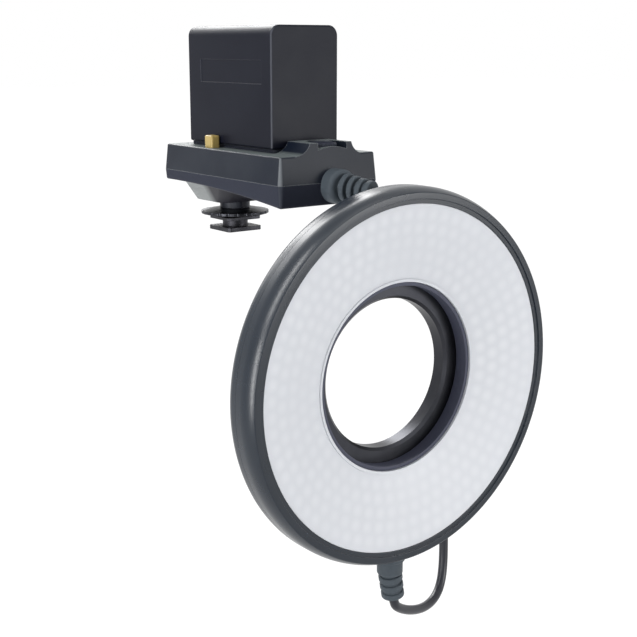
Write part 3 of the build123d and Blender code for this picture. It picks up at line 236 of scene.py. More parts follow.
def mouldedFinish(name, look):
    material, tree, shader, place = newMaterial(name)
    cloud = noise(tree, place, mouldingAndPaintedLight["cloudScale"], 4.0)
    fine = noise(tree, place, 1 / look["grain"], 2.0, 0.6)
    tone = mathNode(tree, "MAXIMUM", wornEdges(tree), spread(tree, cloud, 0.0, mouldingAndPaintedLight["cloudShare"]))
    colour = blendColours(tree, tone, look["colour"], look["worn"])
    geometry = tree.nodes.new("ShaderNodeNewGeometry")
    normalX, normalY, normalZ = splitAxes(tree, geometry.outputs["Normal"])
    if "paintedTopLight" in look:
        # Painted light: lighter where it faces up, as if lit from above
        level = spread(tree, normalZ, 0, 1, *mouldingAndPaintedLight["paintedTopLightRamp"])
        colour = blendColours(tree, level, colour, look["paintedTopLight"])
    if "paintedCornerSheen" in look:
        # Painted highlight: lighter on the upright round corners, as a sheen
        corner = mathNode(tree, "ABSOLUTE", mathNode(tree, "MULTIPLY", normalX, normalY))
        corner = spread(tree, corner, 0, 1, *mouldingAndPaintedLight["paintedCornerSheenRamp"])
        colour = blendColours(tree, corner, colour, look["paintedCornerSheen"])
    if "paintedFrontShade" in look:
        # Painted shade: darker towards the front, where the boss lies in shade
        depth = splitAxes(tree, place)[1]
        front = spread(tree, depth, 1, 0, look["frontTo"], look["frontFrom"])
        colour = blendColours(tree, front, colour, look["paintedFrontShade"])
    tree.links.new(colour, shader.inputs["Base Color"])
    tree.links.new(spread(tree, cloud, *look["rough"]), shader.inputs["Roughness"])
    tree.links.new(relief(tree, fine, look["depth"]), shader.inputs["Normal"])
    shader.inputs["Specular IOR Level"].default_value = look["gloss"]
    return material


def metalFinish(name, look):
    material, tree, shader, place = newMaterial(name)
    cloud = noise(tree, place, metalSurface["cloudScale"], 4.0)
    fine = noise(tree, place, metalSurface["grainScale"], 2.0)
    shader.inputs["Metallic"].default_value = 1.0
    colour = blendColours(tree, spread(tree, cloud, 0, 1), look["colour"], look["dull"])
    tree.links.new(colour, shader.inputs["Base Color"])
    tree.links.new(spread(tree, cloud, *look["rough"]), shader.inputs["Roughness"])
    tree.links.new(relief(tree, fine, metalSurface["depth"]), shader.inputs["Normal"])
    return material


for finishName, look in finishes.items():
    materials[finishName] = mouldedFinish(finishName, look)
for finishName, look in metals.items():
    materials[finishName] = metalFinish(finishName, look)


# The frosted diffuser: five rows of lamps show faintly through it
frosting = {
    "lampTone": (0.612, 0.626, 0.655),
    "gapTone": (0.550, 0.566, 0.600),
    "firstRow": 44.8 * mm,
    "rowPitch": 5.7 * mm,
    "rows": 5,
    "spacing": 6.33 * mm,
    "lampRadius": 2.4 * mm,
    "glowShares": (0.3, 1.3),  # of the lamp's radius, where its glow starts to fade and ends
    "cloudScale": 28.0,
    "faintest": 0.25,          # share of the glow where the cloud is thin
    "grainScale": 2200.0,
    "depth": 0.000010,
    "rough": (0.38, 0.50),
    "milkiness": 0.15,
    "milkDepth": 0.002,
}


def lengthOf(tree, a, b):
    squares = mathNode(tree, "ADD", mathNode(tree, "MULTIPLY", a, a), mathNode(tree, "MULTIPLY", b, b))
    return mathNode(tree, "SQRT", squares)


def frostedDiffuser(look):
    material, tree, shader, place = newMaterial("frostedDiffuser")
    x, _, z = splitAxes(tree, place)
    radius = lengthOf(tree, x, z)
    angle = mathNode(tree, "ARCTAN2", z, x)
    spots = None
    for row in range(look["rows"]):
        rowRadius = look["firstRow"] + row * look["rowPitch"]
        count = round(2 * math.pi * rowRadius / look["spacing"])
        step = 2 * math.pi / count
        turn = mathNode(tree, "MULTIPLY_ADD", angle, 1 / step, 0.5 * (row % 2) + 0.5)
        aside = mathNode(tree, "SUBTRACT", mathNode(tree, "FRACT", turn), 0.5)
        aside = mathNode(tree, "MULTIPLY", aside, step * rowRadius)
        outward = mathNode(tree, "SUBTRACT", radius, rowRadius)
        fades = [look["lampRadius"] * share for share in look["glowShares"]]
        glow = spread(tree, lengthOf(tree, aside, outward), 1, 0, *fades)
        spots = glow if spots is None else mathNode(tree, "MAXIMUM", spots, glow)
    cloud = noise(tree, place, look["cloudScale"], 3.0)
    uneven = mathNode(tree, "MULTIPLY", spots, spread(tree, cloud, look["faintest"], 1.0))
    colour = blendColours(tree, uneven, look["gapTone"], look["lampTone"])
    tree.links.new(colour, shader.inputs["Base Color"])
    tree.links.new(spread(tree, cloud, *look["rough"]), shader.inputs["Roughness"])
    fine = noise(tree, place, look["grainScale"], 2.0)
    tree.links.new(relief(tree, fine, look["depth"]), shader.inputs["Normal"])
    shader.inputs["Subsurface Weight"].default_value = look["milkiness"]
    shader.inputs["Subsurface Radius"].default_value = (look["milkDepth"],) * 3
    shader.inputs["Subsurface Scale"].default_value = 1.0
    return material


materials["frostedDiffuser"] = frostedDiffuser(frosting)
print("materials made")


# Modelling helpers
def deselectAll():
    if bpy.context.mode != "OBJECT":
        bpy.ops.object.mode_set(mode="OBJECT")
    bpy.ops.object.select_all(action="DESELECT")


def makeActive(piece):
    deselectAll()
    piece.select_set(True)
    bpy.context.view_layer.objects.active = piece


def arc(centreX, centreY, radius, start, end, steps=8):
    angles = [math.radians(start + (end - start) * k / steps) for k in range(steps + 1)]
    return [(centreX + radius * math.cos(a), centreY + radius * math.sin(a)) for a in angles]


def turnedPiece(name, outline, steps):
    # A closed outline of radius and depth, in millimetres, spun round the Y axis
    deselectAll()
    bpy.ops.mesh.primitive_plane_add(size=mm)
    piece = bpy.context.object
    piece.name = name
    bpy.ops.object.mode_set(mode="EDIT")
    bpy.ops.mesh.select_all(action="SELECT")
    bpy.ops.mesh.merge(type="CENTER")
    corner = Vector((outline[0][0], outline[0][1], 0)) * mm
    bpy.ops.transform.translate(value=corner)
    for before, after in zip(outline, outline[1:]):
        move = Vector((after[0] - before[0], after[1] - before[1], 0)) * mm
        bpy.ops.mesh.extrude_region_move(TRANSFORM_OT_translate={"value": move})
    bpy.ops.object.mode_set(mode="OBJECT")
    last = len(piece.data.vertices) - 1
    for vertex in piece.data.vertices:
        vertex.select = vertex.index in (0, last)
    bpy.ops.object.mode_set(mode="EDIT")
    if outline[0][0] > 0:
        bpy.ops.mesh.edge_face_add()
    bpy.ops.mesh.select_all(action="SELECT")
    bpy.ops.mesh.spin(steps=steps, angle=2 * math.pi, center=(0, 0, 0), axis=(0, 1, 0))
    bpy.ops.mesh.select_all(action="SELECT")
    bpy.ops.mesh.remove_doubles(threshold=0.002 * mm)
    bpy.ops.mesh.normals_make_consistent(inside=False)
    bpy.ops.object.mode_set(mode="OBJECT")
    return piece


def applyModifier(piece, kind, **settings):
    makeActive(piece)
    modifier = piece.modifiers.new(kind.title(), kind)
    for key, value in settings.items():
        setattr(modifier, key, value)
    bpy.ops.object.modifier_apply(modifier=modifier.name)


def softenEdges(piece, width, sharpest=28):
    applyModifier(piece, "BEVEL", width=width * mm, segments=2, limit_method="ANGLE",
                  angle_limit=math.radians(sharpest), use_clamp_overlap=True, harden_normals=False)


def smoothPiece(piece, sharpest=32):
    makeActive(piece)
    bpy.ops.object.shade_smooth_by_angle(angle=math.radians(sharpest))
    applyModifier(piece, "WEIGHTED_NORMAL", keep_sharp=True, weight=80)


def settle(piece):
    makeActive(piece)
    bpy.ops.object.transform_apply(location=True, rotation=True, scale=True)


def cutAway(piece, tool):
    applyModifier(piece, "BOOLEAN", operation="DIFFERENCE", solver="EXACT", object=tool)
    bpy.data.objects.remove(tool)


def joinPieces(name, pieces):
    deselectAll()
    for piece in pieces:
        piece.select_set(True)
    bpy.context.view_layer.objects.active = pieces[0]
    bpy.ops.object.join()
    pieces[0].name = name
    return pieces[0]


def copyPiece(piece):
    copy = piece.copy()
    copy.data = piece.data.copy()
    bpy.context.scene.collection.objects.link(copy)
    return copy


flatEnough = 0.8      # degrees between faces that lie in one


def refinedCopy(nodeName, name, edge):
    # A CAD node's shape, merged, with softened edges
    piece = bpy.data.objects.new(name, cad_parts[nodeName].data.copy())
    bpy.context.scene.collection.objects.link(piece)
    makeActive(piece)
    bpy.ops.object.mode_set(mode="EDIT")
    bpy.ops.mesh.select_all(action="SELECT")
    bpy.ops.mesh.remove_doubles(threshold=0.0005 * mm)
    bpy.ops.mesh.dissolve_limited(angle_limit=math.radians(flatEnough))
    bpy.ops.object.mode_set(mode="OBJECT")
    if edge:
        softenEdges(piece, edge)
    smoothPiece(piece)
    return piece


def finishPiece(piece, finish, body, node):
    settle(piece)
    piece.data.materials.clear()
    piece.data.materials.append(materials[finish])
    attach(piece, body)
    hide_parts(node)


def aimFromY(direction):
    # The turn that takes +Y to a direction
    return Vector((0, 1, 0)).rotation_difference(Vector(direction)).to_matrix().to_4x4()


# Cord, on the same route as its solid
cordLook = {
    "radius": 2.05 * mm,
    "length": 0.250,
    "route": [
        (7.08, 15.80, 72.68),
        (9.43, 8.60, 72.02),
        (13.8, 3.6, 66.8),
        (21.4, 3.0, 56.4),
        (32.8, 5.2, 37.4),
        (42.2, 7.6, 11.4),
        (46.8, 8.6, -22.6),
        (46.2, 9.0, -56.0),
        (45.2, 8.7, -82.0),
        (44.3, 7.2, -99.0),
        (40.6, 4.6, -108.6),
        (33.6, 1.4, -113.0),
        (23.5, -2.3, -112.9),
        (12.0, -6.0, -109.0),
        (2.93, -8.52, -103.8),
        (0.46, -9.14, -100.50),
        (-0.28, -9.27, -96.67),
    ],
}


def makeCord(look):
    curve = bpy.data.curves.new("cord", "CURVE")
    curve.dimensions = "3D"
    spline = curve.splines.new("NURBS")
    spline.points.add(len(look["route"]) - 1)
    for point, place in zip(spline.points, look["route"]):
        point.co = (*(Vector(place) * mm), 1)
    spline.order_u = 3
    spline.use_endpoint_u = True
    curve.resolution_u = 16
    curve.bevel_depth = look["radius"]
    curve.bevel_resolution = 8
    curve.use_fill_caps = True
    piece = bpy.data.objects.new("powerCord", curve)
    bpy.context.scene.collection.objects.link(piece)
    curve.materials.append(materials["cordJacket"])
    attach(piece, "light")
    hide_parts("cord")


makeCord(cordLook)
print("cord laid")


# Ring head. Radii and depths in millimetres, depths back from the head's front plane
head = {
    "front": -18.0,
    "faceOuter": 72.0,
    "faceInner": 39.6,
    "dish": 7.25,
    "sag": 0.35,
    "rim": 78.5,
    "rimTaper": 2.1,     # the rim is this much smaller at its front edge
    "rimBulge": 6.8,     # depth over which it bulges out
    "rimEdge": 0.6,
    "crest": -0.9,
    "flangeFront": 0.9,  # of the flange by which the bezel holds the diffuser
    "parting": 9.0,
    "backStart": 11.0,
    "backInner": 13.8,
    "back": 16.0,
    "bore": 41.5,
    "screwCircle": 72.6,
    "screwCount": 6,
    "screwLength": 10.1,
    "recess": 1.3,       # depth of a screw head's recess
    "recessRadius": 1.95,
    "steps": 224,
    "roundFrom": 40,     # degrees from which an edge is softened
}


def finishTurned(piece, edge, finish, node):
    softenEdges(piece, edge, sharpest=head["roundFrom"])
    seatHead(piece)
    smoothPiece(piece)
    finishPiece(piece, finish, "light", node)


def seatHead(piece):
    piece.location.y = head["front"] * mm
    settle(piece)


def dishDepth(radius):
    share = (head["faceOuter"] - radius) / (head["faceOuter"] - head["faceInner"])
    return head["dish"] * share - 4 * head["sag"] * share * (1 - share)


def bulgedSide():
    # The rim's side in section: a small round at its front edge, then one long arc
    taper, depth, edge = head["rimTaper"], head["rimBulge"], head["rimEdge"]
    radius = (taper ** 2 + depth ** 2) / (2 * taper)
    centreX, centreY = head["rim"] - radius, head["crest"] + depth
    edgeX = math.sqrt((radius - edge) ** 2 - (depth - edge) ** 2)
    turn = math.degrees(math.atan2(edge - depth, edgeX))
    small = arc(centreX + edgeX, head["crest"] + edge, edge, -90, turn, 5)
    return small + arc(centreX, centreY, radius, turn, 0, 12)[1:]


bezel = {
    "lip": -0.3,         # depth of the plain lip round the diffuser
    "ridge": 73.8,       # where the raised ridge starts
    "wallInner": 76.3,
    "edge": 0.16,
}


def ringBezel():
    lip, ridge, wall = bezel["lip"], bezel["ridge"], bezel["wallInner"]
    outline = [(head["faceOuter"], head["flangeFront"]), (head["faceOuter"], lip), (ridge, lip),
               (ridge, head["crest"])]
    outline += bulgedSide()
    outline += [(head["rim"], head["parting"]), (wall, head["parting"]), (wall, head["flangeFront"])]
    piece = turnedPiece("ringBezel", outline, head["steps"])
    finishTurned(piece, bezel["edge"], "blackShell", "ring_front_bezel")


diffuser = {
    "gap": 0.1,
    "faceSteps": 14,
    "beadWidth": 1.2,
    "beadHeight": 0.5,
    "wall": 1.8,
    "flangeInset": 1.6,
    "flangeBack": 2.5,
    "flangeOuter": 75.8,
    "edge": 0.12,
}


def ringDiffuser():
    inner, outer = head["faceInner"], head["faceOuter"] - diffuser["gap"]
    beadRadius, beadHeight = inner + diffuser["beadWidth"], diffuser["beadHeight"]
    flangeFront, flangeBack = head["flangeFront"], diffuser["flangeBack"]
    steps = diffuser["faceSteps"]
    radii = [outer - (outer - inner - diffuser["beadWidth"]) * k / steps for k in range(steps + 1)]
    outline = [(r, dishDepth(r)) for r in radii]
    outline += [(beadRadius, dishDepth(beadRadius) - beadHeight), (inner, dishDepth(inner) - beadHeight)]
    outline += [(inner, dishDepth(inner) + diffuser["wall"]), (outer - diffuser["flangeInset"], flangeBack)]
    outline += [(diffuser["flangeOuter"], flangeBack), (diffuser["flangeOuter"], flangeFront)]
    outline += [(outer, flangeFront)]
    piece = turnedPiece("ringDiffuser", outline, head["steps"])
    finishTurned(piece, diffuser["edge"], "frostedDiffuser", "ring_diffuser")


tube = {
    "inner": 37.9,
    "outer": 39.5,
    "front": 7.7,
    "ledge": (9.15, 9.95, 10.75),     # front, back and root of the ledge below the diffuser
    "ledgeRadius": 40.7,
    "flangeFront": 12.4,
    "flangeRadius": 42.4,
    "edge": 0.2,
}


def apertureTube():
    inner, outer, back = tube["inner"], tube["outer"], head["backInner"]
    ledgeFront, ledgeBack, ledgeRoot = tube["ledge"]
    outline = [(inner, tube["front"]), (outer, tube["front"]), (outer, ledgeFront)]
    outline += [(tube["ledgeRadius"], ledgeFront), (tube["ledgeRadius"], ledgeBack), (outer, ledgeRoot)]
    outline += [(outer, tube["flangeFront"]), (tube["flangeRadius"], tube["flangeFront"])]
    outline += [(tube["flangeRadius"], back), (inner, back)]
    piece = turnedPiece("apertureTube", outline, head["steps"])
    finishTurned(piece, tube["edge"], "innerWall", "ring_aperture_tube")


def circlePlaces(radius, count, first=0.0):
    turns = [first + 2 * math.pi * k / count for k in range(count)]
    return [(radius * math.cos(a), radius * math.sin(a)) for a in turns]


def rodTool(x, z, fromDepth, toDepth, radius, vertices=32):
    deselectAll()
    bpy.ops.mesh.primitive_cylinder_add(
        vertices=vertices, radius=radius * mm, depth=(toDepth - fromDepth) * mm,
        location=(x * mm, (fromDepth + toDepth) / 2 * mm, z * mm), rotation=(math.radians(90), 0, 0))
    tool = bpy.context.object
    settle(tool)
    return tool


housing = {
    "spigotInner": 75.2,
    "spigotOuter": 76.2,
    "spigotFront": 7.8,
    "innerRound": 2.8,
    "innerRoundCentre": 72.4,
    "edge": 0.16,
}


def rearHousing():
    rim, back, parting, start = head["rim"], head["back"], head["parting"], head["backStart"]
    inner, outer, front = housing["spigotInner"], housing["spigotOuter"], housing["spigotFront"]
    outline = [(inner, front), (outer, front), (outer, parting), (rim, parting)]
    outline += arc(rim - (back - start), start, back - start, 0, 90, 14)
    outline += [(head["bore"], back), (head["bore"], head["backInner"])]
    outline += arc(housing["innerRoundCentre"], start, housing["innerRound"], 90, 0, 6)
    piece = turnedPiece("rearHousing", outline, head["steps"])
    for x, z in circlePlaces(head["screwCircle"], head["screwCount"]):
        cutAway(piece, rodTool(x, z, back - head["recess"], back + 4, head["recessRadius"]))
    finishTurned(piece, housing["edge"], "blackShell", "ring_rear_housing")


ringBezel()
ringDiffuser()
apertureTube()
rearHousing()
print("ring head made")


# Screws: one pan head with a cross recess, copied to each place
screw = {
    "headRadius": 1.85,
    "headHeight": 1.1,
    "dome": ((1.0, 0.35), (0.93, 0.62), (0.76, 0.85), (0.45, 0.97)),     # shares of radius and height
    "shank": 1.0,
    "tipShare": 0.7,
    "tipLength": 0.5,
    "crossLength": 2.1,
    "crossWidth": 0.45,
    "crossDepth": 0.75,
}


def makeScrew(length):
    # Along +Y: the head's top lies at its height, the shank runs back from 0
    radius, height = screw["headRadius"], screw["headHeight"]
    outline = [(0, -length), (screw["shank"] * screw["tipShare"], -length)]
    outline += [(screw["shank"], -length + screw["tipLength"]), (screw["shank"], 0), (radius, 0)]
    outline += [(radius * wide, height * high) for wide, high in screw["dome"]] + [(0, height)]
    piece = turnedPiece("screwPattern", outline, 32)
    for quarter in (0, 90):
        deselectAll()
        bpy.ops.mesh.primitive_cube_add(size=1, location=(0, height * mm, 0))
        bar = bpy.context.object
        bar.scale = (screw["crossLength"] * mm, 2 * screw["crossDepth"] * mm, screw["crossWidth"] * mm)
        bar.rotation_euler = (0, math.radians(quarter), 0)
        settle(bar)
        cutAway(piece, bar)
    return piece


def screwSet(name, places, direction, length, body, node, turnStep):
    pattern = makeScrew(length)
    copies = []
    for index, place in enumerate(places):
        copy = copyPiece(pattern)
        spin = Matrix.Rotation(math.radians(turnStep * index), 4, "Y")
        copy.matrix_world = Matrix.Translation(Vector(place) * mm) @ aimFromY(direction) @ spin
        settle(copy)
        copies.append(copy)
    bpy.data.objects.remove(pattern)
    joined = joinPieces(name, copies)
    smoothPiece(joined, 40)
    finishPiece(joined, "plainSteel", body, node)


headSeat = head["front"] + head["back"]
housingPlaces = [(x, headSeat - head["recess"], z)
                 for x, z in circlePlaces(head["screwCircle"], head["screwCount"])]
screwSet("housingScrews", housingPlaces, (0, 1, 0), head["screwLength"], "light", "ring_screws", 37)


# Lens adapter: hub, flange, seat and thread, and the ring that holds it
adapter = {
    "hubFront": 14.0,
    "hubBore": 32.8,
    "hubRadius": 41.42,
    "flange": (16.15, 17.65),      # front and back
    "flangeRadius": 46.0,
    "seatRadius": 44.0,
    "seat": 18.0,
    "threadTop": 33.4,
    "threadRoot": 32.95,
    "threadPitch": 0.75,
    "threadTurns": 4,
    "ridge": (0.30, 0.42, 0.70),   # start and end of a ridge's top, and its foot
    "threadEnd": 21.0,
    "threadLead": 0.2,
    "bore": 31.6,
    "boreFront": 15.2,
}


def lensAdapter():
    flangeFront, flangeBack = adapter["flange"]
    top, root, end = adapter["threadTop"], adapter["threadRoot"], adapter["threadEnd"]
    outline = [(adapter["hubBore"], adapter["hubFront"]), (adapter["hubRadius"], adapter["hubFront"])]
    outline += [(adapter["hubRadius"], flangeFront), (adapter["flangeRadius"], flangeFront)]
    outline += [(adapter["flangeRadius"], flangeBack), (adapter["seatRadius"], flangeBack)]
    outline += [(adapter["seatRadius"], adapter["seat"]), (root, adapter["seat"])]
    for k in range(adapter["threadTurns"]):
        start = adapter["seat"] + k * adapter["threadPitch"]
        topStart, topEnd, foot = (start + step for step in adapter["ridge"])
        outline += [(top, topStart), (top, topEnd), (root, foot)]
    outline += [(root - adapter["threadLead"], end), (adapter["bore"], end)]
    outline += [(adapter["bore"], adapter["boreFront"])]
    piece = turnedPiece("lensAdapter", outline, head["steps"])
    seatHead(piece)
    smoothPiece(piece, 30)
    finishPiece(piece, "blackAnodised", "lens_adapter", "lens_adapter_ring")


retainer = {
    "inner": 44.4,
    "step": 46.2,
    "outer": 52.0,
    "stepDepth": 17.8,
    "back": 18.8,
    "bevel": 0.6,
    "screwCircle": 49.3,
    "screwCount": 4,
    "firstScrew": math.pi / 4,
    "screwSeat": 1.7,      # of the screw heads, behind the head's back
    "screwLength": 3.5,
    "edge": 0.12,
}


def retainerPlaces():
    return circlePlaces(retainer["screwCircle"], retainer["screwCount"], retainer["firstScrew"])


def adapterRetainer():
    inner, step, outer = retainer["inner"], retainer["step"], retainer["outer"]
    front, back, bevel = head["back"], retainer["back"], retainer["bevel"]
    outline = [(step, front), (outer, front), (outer, back - bevel), (outer - bevel, back)]
    outline += [(inner, back), (inner, retainer["stepDepth"]), (step, retainer["stepDepth"])]
    piece = turnedPiece("adapterRetainer", outline, head["steps"])
    for x, z in retainerPlaces():
        cutAway(piece, rodTool(x, z, front + retainer["screwSeat"], back + 3.2, head["recessRadius"]))
    finishTurned(piece, retainer["edge"], "blackShell", "adapter_retainer")


lensAdapter()
adapterRetainer()
screwSet("retainerScrews", [(x, headSeat + retainer["screwSeat"], z) for x, z in retainerPlaces()],
         (0, 1, 0), retainer["screwLength"], "light", "retainer_screws", 23)
print("lens adapter made")


# Cord reliefs: a flange and collar with a ribbed, tapering tail
ringRelief = {
    "collarPlace": (-2.6, -9.7, -85.7),
    "collarAim": (0, 0, -1),
    "collarLength": 9.4,
    "collarRadius": 5.5,
    "collarRound": 1.0,
    "rootRadius": 6.3,
    "rootPlace": 6.2,
    "tailPlace": (-2.6, -9.7, -84.7),
    "tailAim": (0.19, 0.035, -0.981),
    "tailLength": 12.2,
    "tailRadius": 5.2,
    "tipRadius": 4.9,
    "grooveRadius": 4.1,
    "ribs": 3,
}
unitRelief = {
    "collarPlace": (2.4, 29.2, 74.0),
    "collarAim": (0, -1, 0),
    "collarLength": 7.6,
    "collarRadius": 7.4,
    "collarRound": 2.2,
    "rootRadius": 7.4,
    "rootPlace": 7.0,
    "tailPlace": (2.4, 30.2, 74.0),
    "tailAim": (0.308, -0.947, -0.087),
    "tailLength": 15.2,
    "tailRadius": 6.3,
    "tipRadius": 4.6,
    "grooveRadius": 3.75,
    "ribs": 4,
}


ribbing = {
    "inset": 1.0,         # of the tail in its collar
    "grooveShare": 0.34,  # of the pitch of the ribs
    "grooveMargin": 0.05,
    "ribBevel": 0.35,
    "rootBevel": 0.3,
    "rootFoot": 0.1,
    "edge": 0.18,
    "steps": 64,
}


def ribbedOutline(look):
    step = look["tailLength"] / look["ribs"]
    groove = step * ribbing["grooveShare"]
    bevel, margin = ribbing["ribBevel"], ribbing["grooveMargin"]
    outline = [(0, -ribbing["inset"]), (look["grooveRadius"], -ribbing["inset"])]
    for k in range(look["ribs"]):
        for low, high in ((k * step, k * step + groove), (k * step + groove, (k + 1) * step)):
            middle = (low + high) / 2
            share = middle / look["tailLength"]
            ribRadius = look["tailRadius"] + (look["tipRadius"] - look["tailRadius"]) * share
            isRib = low > k * step
            radius = ribRadius if isRib else look["grooveRadius"]
            if isRib:
                outline += [(radius - bevel, low), (radius, low + bevel)]
                outline += [(radius, high - bevel), (radius - bevel, high)]
            else:
                outline += [(radius, low + margin), (radius, high - margin)]
    outline += [(cordLook["radius"] / mm, look["tailLength"]), (0, look["tailLength"])]
    return outline


def aimPiece(piece, place, direction):
    piece.matrix_world = Matrix.Translation(Vector(place) * mm) @ aimFromY(direction)
    settle(piece)


def cordRelief(name, look, node):
    radius, rounding, length = look["collarRadius"], look["collarRound"], look["collarLength"]
    rootRadius, rootPlace, bevel = look["rootRadius"], look["rootPlace"], ribbing["rootBevel"]
    outline = [(0, -length), (rootRadius, -length)]
    if rootRadius > radius:
        outline += [(rootRadius, -rootPlace - bevel), (rootRadius - bevel, -rootPlace)]
        outline += [(radius, -rootPlace + ribbing["rootFoot"])]
    outline += arc(radius - rounding, -rounding, rounding, 0, 90, 7)
    outline += [(0, 0)]
    collar = turnedPiece(name + "Collar", outline, ribbing["steps"])
    aimPiece(collar, look["collarPlace"], look["collarAim"])
    tail = turnedPiece(name + "Tail", ribbedOutline(look), ribbing["steps"])
    softenEdges(tail, ribbing["edge"], sharpest=30)
    aimPiece(tail, look["tailPlace"], look["tailAim"])
    piece = joinPieces(name, [collar, tail])
    smoothPiece(piece, 40)
    finishPiece(piece, "softRubber", "light", node)


cordRelief("ringCordRelief", ringRelief, "ring_cord_relief")
cordRelief("unitCordRelief", unitRelief, "unit_cord_relief")
print("cord reliefs made")


# Control unit, shoe and battery pack, from their own solids with softened edges
shellPieces = [
    ("unit_upper_case", "upperCase", "blackCase", "light", 0.30),
    ("unit_lower_case", "lowerCase", "darkCase", "light", 0.20),
    ("battery_plate", "batteryPlate", "darkCase", "light", 0.15),
    ("brightness_dial", "brightnessDial", "darkCase", "dial", 0.08),
    ("release_button", "releaseButton", "amberButton", "button", 0.08),
    ("shoe_boss", "shoeBoss", "greyBoss", "light", 0.5),
    ("shoe_collar", "shoeCollar", "packShell", "light", 0.2),
    ("shoe_foot", "shoeFoot", "blackSteel", "light", 0.15),
    ("lock_wheel", "lockWheel", "blackAnodised", "wheel", 0.12),
    ("pressure_plate", "pressurePlate", "blackSteel", "clamp_plate", 0.12),
    ("pack_case", "packCase", "packShell", "battery_pack", 0.12),
    ("pack_base", "packBase", "packShell", "battery_pack", 0.1),
]
for nodeName, pieceName, finish, body, edge in shellPieces:
    finishPiece(refinedCopy(nodeName, pieceName, edge), finish, body, nodeName)
print("control unit, shoe and battery pack made")


# The spring below the button, which shortens as the button goes down
springPiece = refinedCopy("release_spring", "releaseSpring", 0)
finishPiece(springPiece, "plainSteel", "light", "release_spring")
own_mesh(springPiece)
print("spring made")


# Screws below the unit and the pack
lowerScrews = {
    "unitAside": 21.2,
    "unitSeats": ((44.4, 67.68), (122.6, 71.77)),     # depth and height of each pair
    "unitLength": 8.0,
    "packAside": 9.5,
    "packSeat": (115.0, 90.1),
    "packLength": 4.3,
}
unitPlaces = [(side * lowerScrews["unitAside"], *seat)
              for side in (-1, 1) for seat in lowerScrews["unitSeats"]]
packPlaces = [(side * lowerScrews["packAside"], *lowerScrews["packSeat"]) for side in (-1, 1)]
screwSet("caseScrews", unitPlaces, (0, 0, -1), lowerScrews["unitLength"], "light", "case_screws", 37)
screwSet("packScrews", packPlaces, (0, 0, -1), lowerScrews["packLength"], "battery_pack", "pack_screws", 51)


# Pieces whose solids stay as they are
plainNodes = {
    "ring_led_board": "greenBoard", "ring_led_lamps": "lampResin", "unit_circuit_board": "greenBoard",
    "board_screws": "plainSteel", "board_components": "darkPart", "dimmer_potentiometer": "darkPart",
    "dial_shaft": "plainSteel", "plate_screws": "plainSteel", "contact_blades": "goldContact",
    "foot_screws": "plainSteel", "pack_terminals": "goldContact", "pack_cradle": "darkPart",
    "pack_cells": "cellWrap", "pack_end_board": "greenBoard", "pack_strips": "plainSteel",
    "pack_leaves": "plainSteel",
}
for nodeName, finish in plainNodes.items():
    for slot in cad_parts[nodeName].material_slots:
        slot.material = materials[finish]
print("inner pieces finished")


# Floor, backdrop and light
studio = {
    "floorDrop": 0.060,      # below the lowest point of the part
    "floorSize": 16.0,
    "floorColour": (0.90, 0.90, 0.90),
    "floorTint": (0.92, 0.92, 0.92),
    "floorCloud": 3.0,
    "floorRough": 0.9,
    "plainShare": 0.72,      # how much of the floor's look near the part is plain white
    "plainFrom": 0.35,       # distances over which it turns wholly plain
    "plainTo": 1.10,
    "floorGlow": 1.05,
    "ambient": 0.25,
    "lampAim": (0, 0.02, 0),
}
lamps = {
    "keyLamp": {"place": (0.15, -0.45, 1.5), "width": 1.4, "height": 1.0, "power": 8.0},
    "leftStrip": {"place": (-0.62, -0.03, 0.03), "width": 0.06, "height": 0.38, "power": 1.7},
    "upperStrip": {"place": (-0.55, 0.02, 0.60), "width": 0.08, "height": 0.60, "power": 3.0},
    "cornerStrip": {"place": (-0.60, -0.38, 0.00), "width": 0.06, "height": 0.32, "power": 0.7},
    "rightLamp": {"place": (0.66, -1.28, 0.09), "width": 0.8, "height": 0.5, "power": 9.5},
    "backLamp": {"place": (0.38, 1.3, 1.0), "width": 0.9, "height": 0.7, "power": 22.0},
    "backLeftLamp": {"place": (-0.22, 1.3, 0.72), "width": 0.55, "height": 0.55, "power": 3.2},
}


def seenRays(tree):
    path = tree.nodes.new("ShaderNodeLightPath")
    seen = mathNode(tree, "MAXIMUM", path.outputs["Is Camera Ray"], path.outputs["Is Glossy Ray"])
    return mathNode(tree, "MAXIMUM", seen, path.outputs["Is Transmission Ray"])


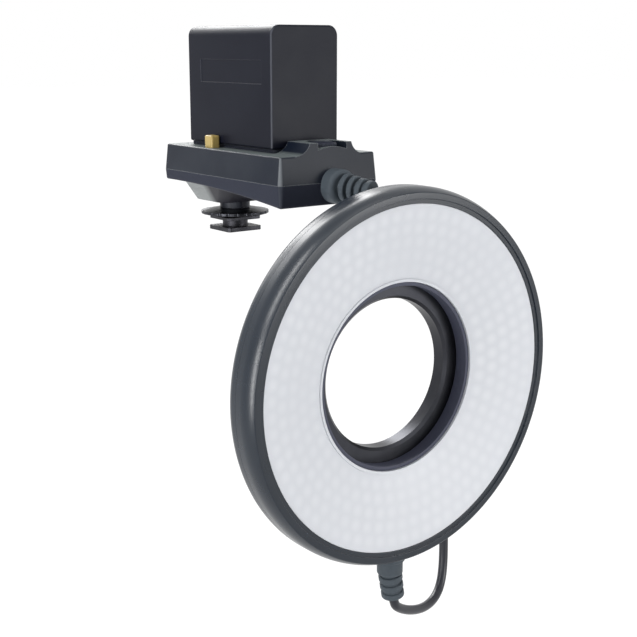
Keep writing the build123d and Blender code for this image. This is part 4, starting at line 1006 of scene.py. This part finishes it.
def paleFloor():
    material, tree, shader, place = newMaterial("paleFloor")
    cloud = noise(tree, place, studio["floorCloud"])
    tree.links.new(blendColours(tree, cloud, studio["floorColour"], studio["floorTint"]),
                   shader.inputs["Base Color"])
    shader.inputs["Roughness"].default_value = studio["floorRough"]
    glow = tree.nodes.new("ShaderNodeEmission")
    glow.inputs["Strength"].default_value = studio["floorGlow"]
    mix = tree.nodes.new("ShaderNodeMixShader")
    away = tree.nodes.new("ShaderNodeVectorMath")
    away.operation = "LENGTH"
    tree.links.new(place, away.inputs[0])
    plain = spread(tree, away.outputs["Value"], studio["plainShare"], 1,
                   studio["plainFrom"], studio["plainTo"])
    share = mathNode(tree, "MULTIPLY", seenRays(tree), plain)
    tree.links.new(share, mix.inputs["Fac"])
    tree.links.new(shader.outputs["BSDF"], mix.inputs[1])
    tree.links.new(glow.outputs["Emission"], mix.inputs[2])
    tree.links.new(mix.outputs["Shader"], tree.nodes["Material Output"].inputs["Surface"])
    deselectAll()
    floorHeight = cadBox[0][2] - studio["floorDrop"]
    bpy.ops.mesh.primitive_plane_add(size=studio["floorSize"], location=(0, 0, floorHeight))
    floor = bpy.context.object
    floor.name = "studioFloor"
    floor.data.materials.append(material)


def studioWorld():
    world = bpy.data.worlds.new("studioWorld")
    bpy.context.scene.world = world
    world.use_nodes = True
    tree = world.node_tree
    background = tree.nodes["Background"]
    background.inputs["Color"].default_value = (1, 1, 1, 1)
    strength = spread(tree, seenRays(tree), studio["ambient"], 1.0, 0, 1)
    tree.links.new(strength, background.inputs["Strength"])


def placeLamp(name, look):
    lamp = bpy.data.objects.new(name, bpy.data.lights.new(name, "AREA"))
    bpy.context.scene.collection.objects.link(lamp)
    lamp.data.shape = "RECTANGLE"
    lamp.data.size = look["width"]
    lamp.data.size_y = look["height"]
    lamp.data.energy = look["power"]
    lamp.visible_camera = False
    lamp.location = look["place"]
    aim = Vector(studio["lampAim"]) - Vector(look["place"])
    lamp.rotation_euler = aim.to_track_quat("-Z", "Y").to_euler()


paleFloor()
studioWorld()
for lampName, lampLook in lamps.items():
    placeLamp(lampName, lampLook)
bpy.context.scene.view_settings.view_transform = "Standard"
print("studio lit")
